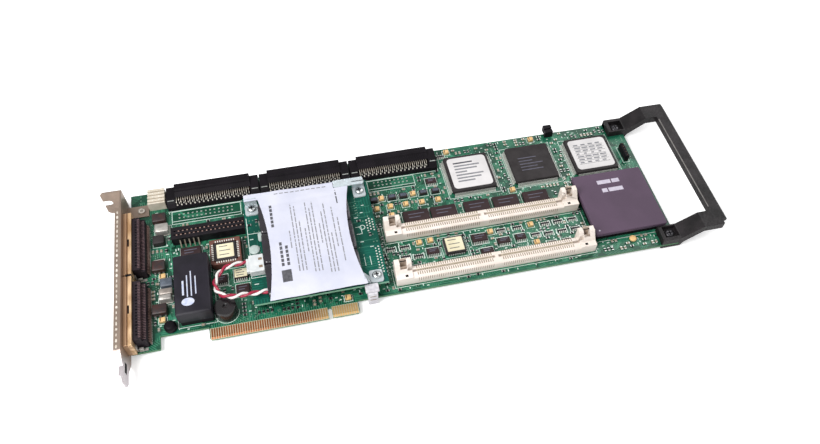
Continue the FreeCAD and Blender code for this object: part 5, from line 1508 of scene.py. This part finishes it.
def dressCover():
    top = span("battery_cover")[1][2]
    ys = np.linspace(cover["low"], cover["shoulder"], 60)
    stripY = np.linspace(cover["shoulder"], cover["high"], 5)
    left, right = cover["strip"]
    film = [filmPatch(coverEdge(ys, *cover["left"]), coverEdge(ys, *cover["right"]), ys),
            filmPatch(np.full(5, left), np.full(5, right), stripY)]
    addPiece("cover_sheet_printed", film, "cover", 50)
    strip = tiered(*cover["clearStrip"], [(top - 0.5, 0), (top, 0)], 1.0)
    addPiece("cover_clear_ends", strip, "clear", 50)
    feet = []
    for n, (x, y) in enumerate(deckScrews):
        feet += coverFoot(x, y, top, n < 2)
    addPiece("cover_clear_feet", feet, "clear", 50, "battery_cover")
    bars = []
    for x, y, last in cover["lines"]:
        while y < last:     # words of a line become plain dashes
            step = random.uniform(1.4, 5.0)
            bars.append(onSheet(x, y, x + 0.6, min(y + step, last)))
            y += step + 0.55
    bars += [onSheet(x, 79.4, x + 2.2, 80.0) for x in np.arange(84.0, 114.0, 3.1)]
    addPiece("cover_print", bars, "ink")
    field = [onSheet(x, 18.6, x + 0.9, 26.2) for x in np.arange(82.4, 87.4, 0.87)]
    field.append(onSheet(118.6, 66.0, 119.3, 76.0))
    field += [onSheet(x, y, x + 1.5, y + 2.2)
              for x, y0, y1 in cover["blocks"] for y in np.arange(y0, y1, 2.8)]
    addPiece("cover_dark_fields", field, "inkDark")


# screws: finish of the head and of its recess, the recess painted dark for its shade; shank as a share of the
# head's radius
screws = {"cover_screws": ("screw", "screwDark", 0.55), "handle_screws": ("screwDark", "recessShade", 0.48)}


def panHead(x, y, z0, radius, height, drive=0.55):     # domed head, and its drive as a flat dark cross: painted shade of the recess
    head = repeat(lathe([(radius * 0.96, 0), (radius, height * 0.25), (radius * 0.93, height * 0.62),
                         (radius * 0.7, height * 0.9), (radius * 0.4, height)], 24), (x, y, z0))
    arm, thin = radius * drive, radius * drive * 0.24
    low, high = z0 + height - 0.1, z0 + height + 0.015
    return head, [box(x - arm, y - thin, low, x + arm, y + thin, high),
                  box(x - thin, y - arm, low, x + thin, y + arm, high)]


def dressScrews():
    for node, (shade, recess, share) in screws.items():
        heads, crosses, shanks = [], [], []
        for low, high in solidBoxes(node):
            (x, y, _), radius = (low + high) / 2, (high[0] - low[0]) / 2
            height = 1.7 if node == "handle_screws" else min(1.6, high[2] - deckHigh[2] - 0.8)
            head, cross = panHead(x, y, high[2] - height, radius, height)
            heads.append(head)
            crosses += cross
            shank = lathe([(radius * share, low[2]), (radius * share, high[2] - height + 0.1)], 16)
            shanks.append(repeat(shank, (x, y, 0)))
        addPiece(node + "_heads", heads + shanks, shade, 40, node)
        addPiece(node + "_drives", crosses, recess)


def dressSnapPost():
    middle, r, top = roundSpan("snap_post")
    base = deckHigh[2]
    cap = lathe([(r * 0.9, base), (r, base + 0.3), (r * 0.95, top - 0.5), (r * 0.7, top - 0.1),
                 (r * 0.4, top)], 26)
    stem = lathe([(1.35, 0.05), (1.35, base + 0.1)], 16)
    addPiece("snap_post_head", repeat(together(cap, stem), (*middle[:2], 0)), "frosted", 40,
             "snap_post")


def dressClip():     # nylon jaws that hold the battery board over the card's lower edge
    low, high = span("battery_socket")
    # the windows are painted dark: painted shade inside them
    windows = [box(low[0] + 5.2, y, high[2] - 0.02, low[0] + 7.2, y + 1.6, high[2] + 0.015)
               for y in (low[1] + 2.2, low[1] + 7.2)]
    addPiece("battery_socket_windows", windows, "slotShade")
    low, high = span("board_clip")
    base, under, top = low[1], deckLow[2] - 0.1, high[2]
    deckEdge, reach = deckLow[1] - 0.15, base + 5.5
    jaws = [(base, low[2]), (reach, low[2]), (reach, boardBack), (cardEdge, boardBack),
            (cardEdge, 0.0), (reach, 0.0), (reach, under), (deckEdge, under), (deckEdge, top - 1.3),
            (base, top - 1.3)]
    flange = [(base + 1.0, top - 1.5), (deckEdge, top - 1.5), (deckEdge, top), (base + 1.0, top)]
    shape = [alongX(jaws, low[0] + 1.0, high[0] - 1.0), alongX(flange, low[0], high[0])]
    clip = addPiece("board_clip_moulding", shape, "clipNylon", replaces="board_clip")
    bevelEdges(clip, 0.4, 3)
    # the slits are painted dark: painted shade
    slits = [box(low[0] + 2.0, base - 0.01, z, high[0] - 2.0, base + 0.01, z + 0.7) for z in (1.4, 4.6)]
    addPiece("board_clip_slits", slits, "slotShade")


def dressHandle():     # a painted highlight: a pale band along the bar's inner edge, where its inner face catches the light
    low, high = span("card_handle")
    x, top = high[0] - 7.78, high[2]
    edge = ribbon([(x, low[1] + 13.5), (x, high[1] - 13.0)], 0.7, top - 0.05, top + 0.02)
    addPiece("handle_painted_highlight_edge", edge, "handleEdgeHighlight")


dressDeck()
dressPack()
dressCover()
dressScrews()
dressSnapPost()
dressClip()
dressHandle()
print("battery board and handle made")

# solder side: rows of pin ends along X as (y, shift), from the left and right ends, pitch, pegs' x and y
solderRows = {
    "drive_header": (((2.0, 0.0), (4.6, 0.63), (7.2, 0.0), (9.2, 0.63)), 6.6, 6.6, 1.27, (2.4, 5.5)),
    "memory_socket": (((2.8, 0.0), (6.4, 1.27)), 12.6, 13.0, 2.54, (2.0, 4.4)),
    "expansion_header": (((2.9, 0.0), (5.5, 0.0)), 2.2, 2.0, 1.27, None),
}
backside = {"vias": 900, "tracks": 110, "parts": 110, "pinRings": 4, "viaPitch": 1.905, "trackPitch": 0.75}


def rowEnds(kind, node):     # pin ends and pegs of one connector
    low, high = span(node)
    rows, left, right, pitch, peg = solderRows[kind]
    pins = [(x + shift, low[1] + y, boardBack) for y, shift in rows
            for x in np.arange(low[0] + left, high[0] - right, pitch)]
    pegs = [(x, low[1] + peg[1], boardBack) for x in (low[0] + peg[0], high[0] - peg[0])] if peg else []
    return pins, pegs


def addJoints():
    z, fine, large = boardBack, [], []
    for kind, n in (("drive_header", 1), ("drive_header", 2), ("drive_header", 3),
                    ("memory_socket", 1), ("memory_socket", 2)):
        pins, pegs = rowEnds(kind, f"{kind}_{n}")
        fine += pins
        large += pegs
    low, high = span("processor_socket")
    xs, ys = np.arange(low[0] + 2.2, high[0] - 2.0, 2.54), np.arange(low[1] + 2.2, high[1] - 2.0, 2.54)
    fine += [(x, y, z) for i, x in enumerate(xs) for k, y in enumerate(ys)     # rings round an empty middle
             if min(i, k, len(xs) - 1 - i, len(ys) - 1 - k) < backside["pinRings"]]
    for name in ("lower", "upper"):
        low, high = span(f"port_housing_{name}")
        fine += [(high[0] + reach - port["wire"] / 2, y + shift, z) for _, reach, shift in port["levels"]
                 for y in portPins(name)]
        large += [(2.2, y, z) for y in (low[1] + 0.6, high[1] - 0.6)]
    low, high = span("module_socket")
    ys = np.arange(low[1] + 2, high[1] - 1, 2.54)
    fine += [(x, y, z) for x in (low[0] + 1.2, high[0] - 1.2) for y in ys]
    fine += rowEnds("expansion_header", "expansion_header")[0]
    for strip in silk["padStrips"]:
        fine += padPlaces(strip, z)
    middle = roundSpan("buzzer")[0]
    large += [(middle[0] + side, middle[1], z) for side in (-3.8, 3.8)]
    low, high = span("chip_socket")
    xs = np.arange(low[0] + 2.2, high[0] - 1.8, 2.54)
    fine += [(x, y, z) for x in xs for y in (low[1] + 1.6, high[1] - 1.6)]
    small = lathe([(0.62, 0.0), (0.46, -0.1), (0.26, -0.42), (0.18, -0.8)], 6)
    joint = lathe([(0.95, 0.0), (0.7, -0.16), (0.42, -0.5), (0.3, -0.95), (0.2, -1.0)], 7)
    addPiece("solder_joints_small", repeat(small, fine), "solder", 50)
    addPiece("solder_joints_large", repeat(joint, large), "solder", 50)


def addSolderSide():
    z = boardBack
    pads = [box(*low[:2], z - 0.05, *high[:2], z + 0.01) for low, high in solidBoxes("edge_contacts")]
    addPiece("edge_contacts_back", pads, "gold")     # the same row of contacts on the back
    vias, tracks, places, turns = [], [], [], []
    for _ in range(backside["vias"]):
        x, y = onGrid(4, 296, 11, 86)
        step = eitherWay(0.5, backside["viaPitch"])
        vias += [(x + step[0] * k, min(y + step[1] * k, 104), z) for k in range(random.integers(1, 3))]
    addPiece("back_vias", repeat(viaRing(height=-0.05), vias), "pad")
    for _ in range(backside["tracks"]):
        corner = np.array([random.uniform(6, 290), random.uniform(11, 84)])
        run = np.array(eitherWay(0.5, 1.0))
        across, lengths = run[::-1], random.uniform(5, 20, 2)
        for k in range(random.integers(3, 8)):
            start = corner + across * backside["trackPitch"] * k
            points = trackLine(start, run, across, lengths[0], 3, lengths[1])
            if (points < (300, 104)).all():
                tracks.append(ribbon(points, 0.3, z - 0.04, z))
    addPiece("back_tracks", tracks, "maskedCopper")
    for _ in range(backside["parts"]):
        places.append((random.uniform(16, 290), random.uniform(12, 86), z))
        turns.append(90 * random.integers(0, 2))
    bodies = repeat(box(-0.62, -0.6, -0.7, 0.62, 0.6, 0.0), places, turns)
    addPiece("back_chip_parts", bodies, "ceramicCap")
    ends = repeat(partEnds(0.6, 1.05, -0.72, 0), places, turns)
    addPiece("back_chip_part_ends", ends, "solder")


addJoints()
addSolderSide()
print("solder side made")

studio = {
    "floor": span("slot_bracket")[0][2],     # the card lies on its bracket's lower edge
    "floorSize": 1400.0,
    "white": (1.0, 1.0, 1.0, 1.0),
    "floorGlow": 0.45,                       # what the camera and glossy faces see on top of its own light
    "worldLight": 0.4, "mirrored": 0.75,     # what falls on the card; what shines back from glossy faces
    "lamps": {"key": ((-220, -160, 520), 360, 4.6),     # place, size, watts
              "fill": ((520, 260, 420), 500, 1.2)},
}


def seenRays(tree):     # 1 for rays from the camera, or by way of a glossy or clear face
    rays = addNode(tree, "LightPath").outputs
    seen = addNode(tree, "Math", {0: rays["Is Camera Ray"], 1: rays["Is Glossy Ray"]}, operation="MAXIMUM")
    return addNode(tree, "Math", {0: seen, 1: rays["Is Transmission Ray"]}, operation="MAXIMUM")


def addStudio():
    z, half = studio["floor"], studio["floorSize"] / 2
    middle = boardSpan[1][0] / 2
    left, right = middle - half, middle + half
    corners = [(left, -half, z), (right, -half, z), (right, half, z), (left, half, z)]
    mesh = bpy.data.meshes.new("floor")
    mesh.from_pydata((np.array(corners) * mm + boardCorner).tolist(), [], [(0, 1, 2, 3)])
    floor = bpy.data.objects.new("floor", mesh)
    bpy.context.collection.objects.link(floor)
    material, tree, shader, _ = startMaterial("palePaperSweep")     # white paper: matt, plain white beyond
    glow = addNode(tree, "Math", {0: seenRays(tree), 1: studio["floorGlow"]}, operation="MULTIPLY")
    setInputs(shader, {"Base Color": hexColour("#f2f2f2"), "Roughness": 0.9, "Specular IOR Level": 0.0,
                       "Emission Color": studio["white"], "Emission Strength": glow})
    mesh.materials.append(material)
    world = bpy.data.worlds.new("studio")
    bpy.context.scene.world = world
    world.use_nodes = True
    tree = world.node_tree
    strength = addNode(tree, "Mix", {0: seenRays(tree), 2: studio["worldLight"], 3: studio["mirrored"]})
    setInputs(tree.nodes["Background"], {0: studio["white"], 1: strength})
    for name, (place, size, power) in studio["lamps"].items():
        light = bpy.data.lights.new(name, "AREA")
        light.shape = "DISK"
        light.size = size * mm
        light.energy = power
        lamp = bpy.data.objects.new(name, light)
        lamp.location = at(*place)
        aim = Vector(at(middle, 50, 0)) - lamp.location
        lamp.rotation_euler = aim.to_track_quat("-Z", "Y").to_euler()
        bpy.context.collection.objects.link(lamp)
    bpy.context.scene.view_settings.view_transform = "Standard"


addStudio()
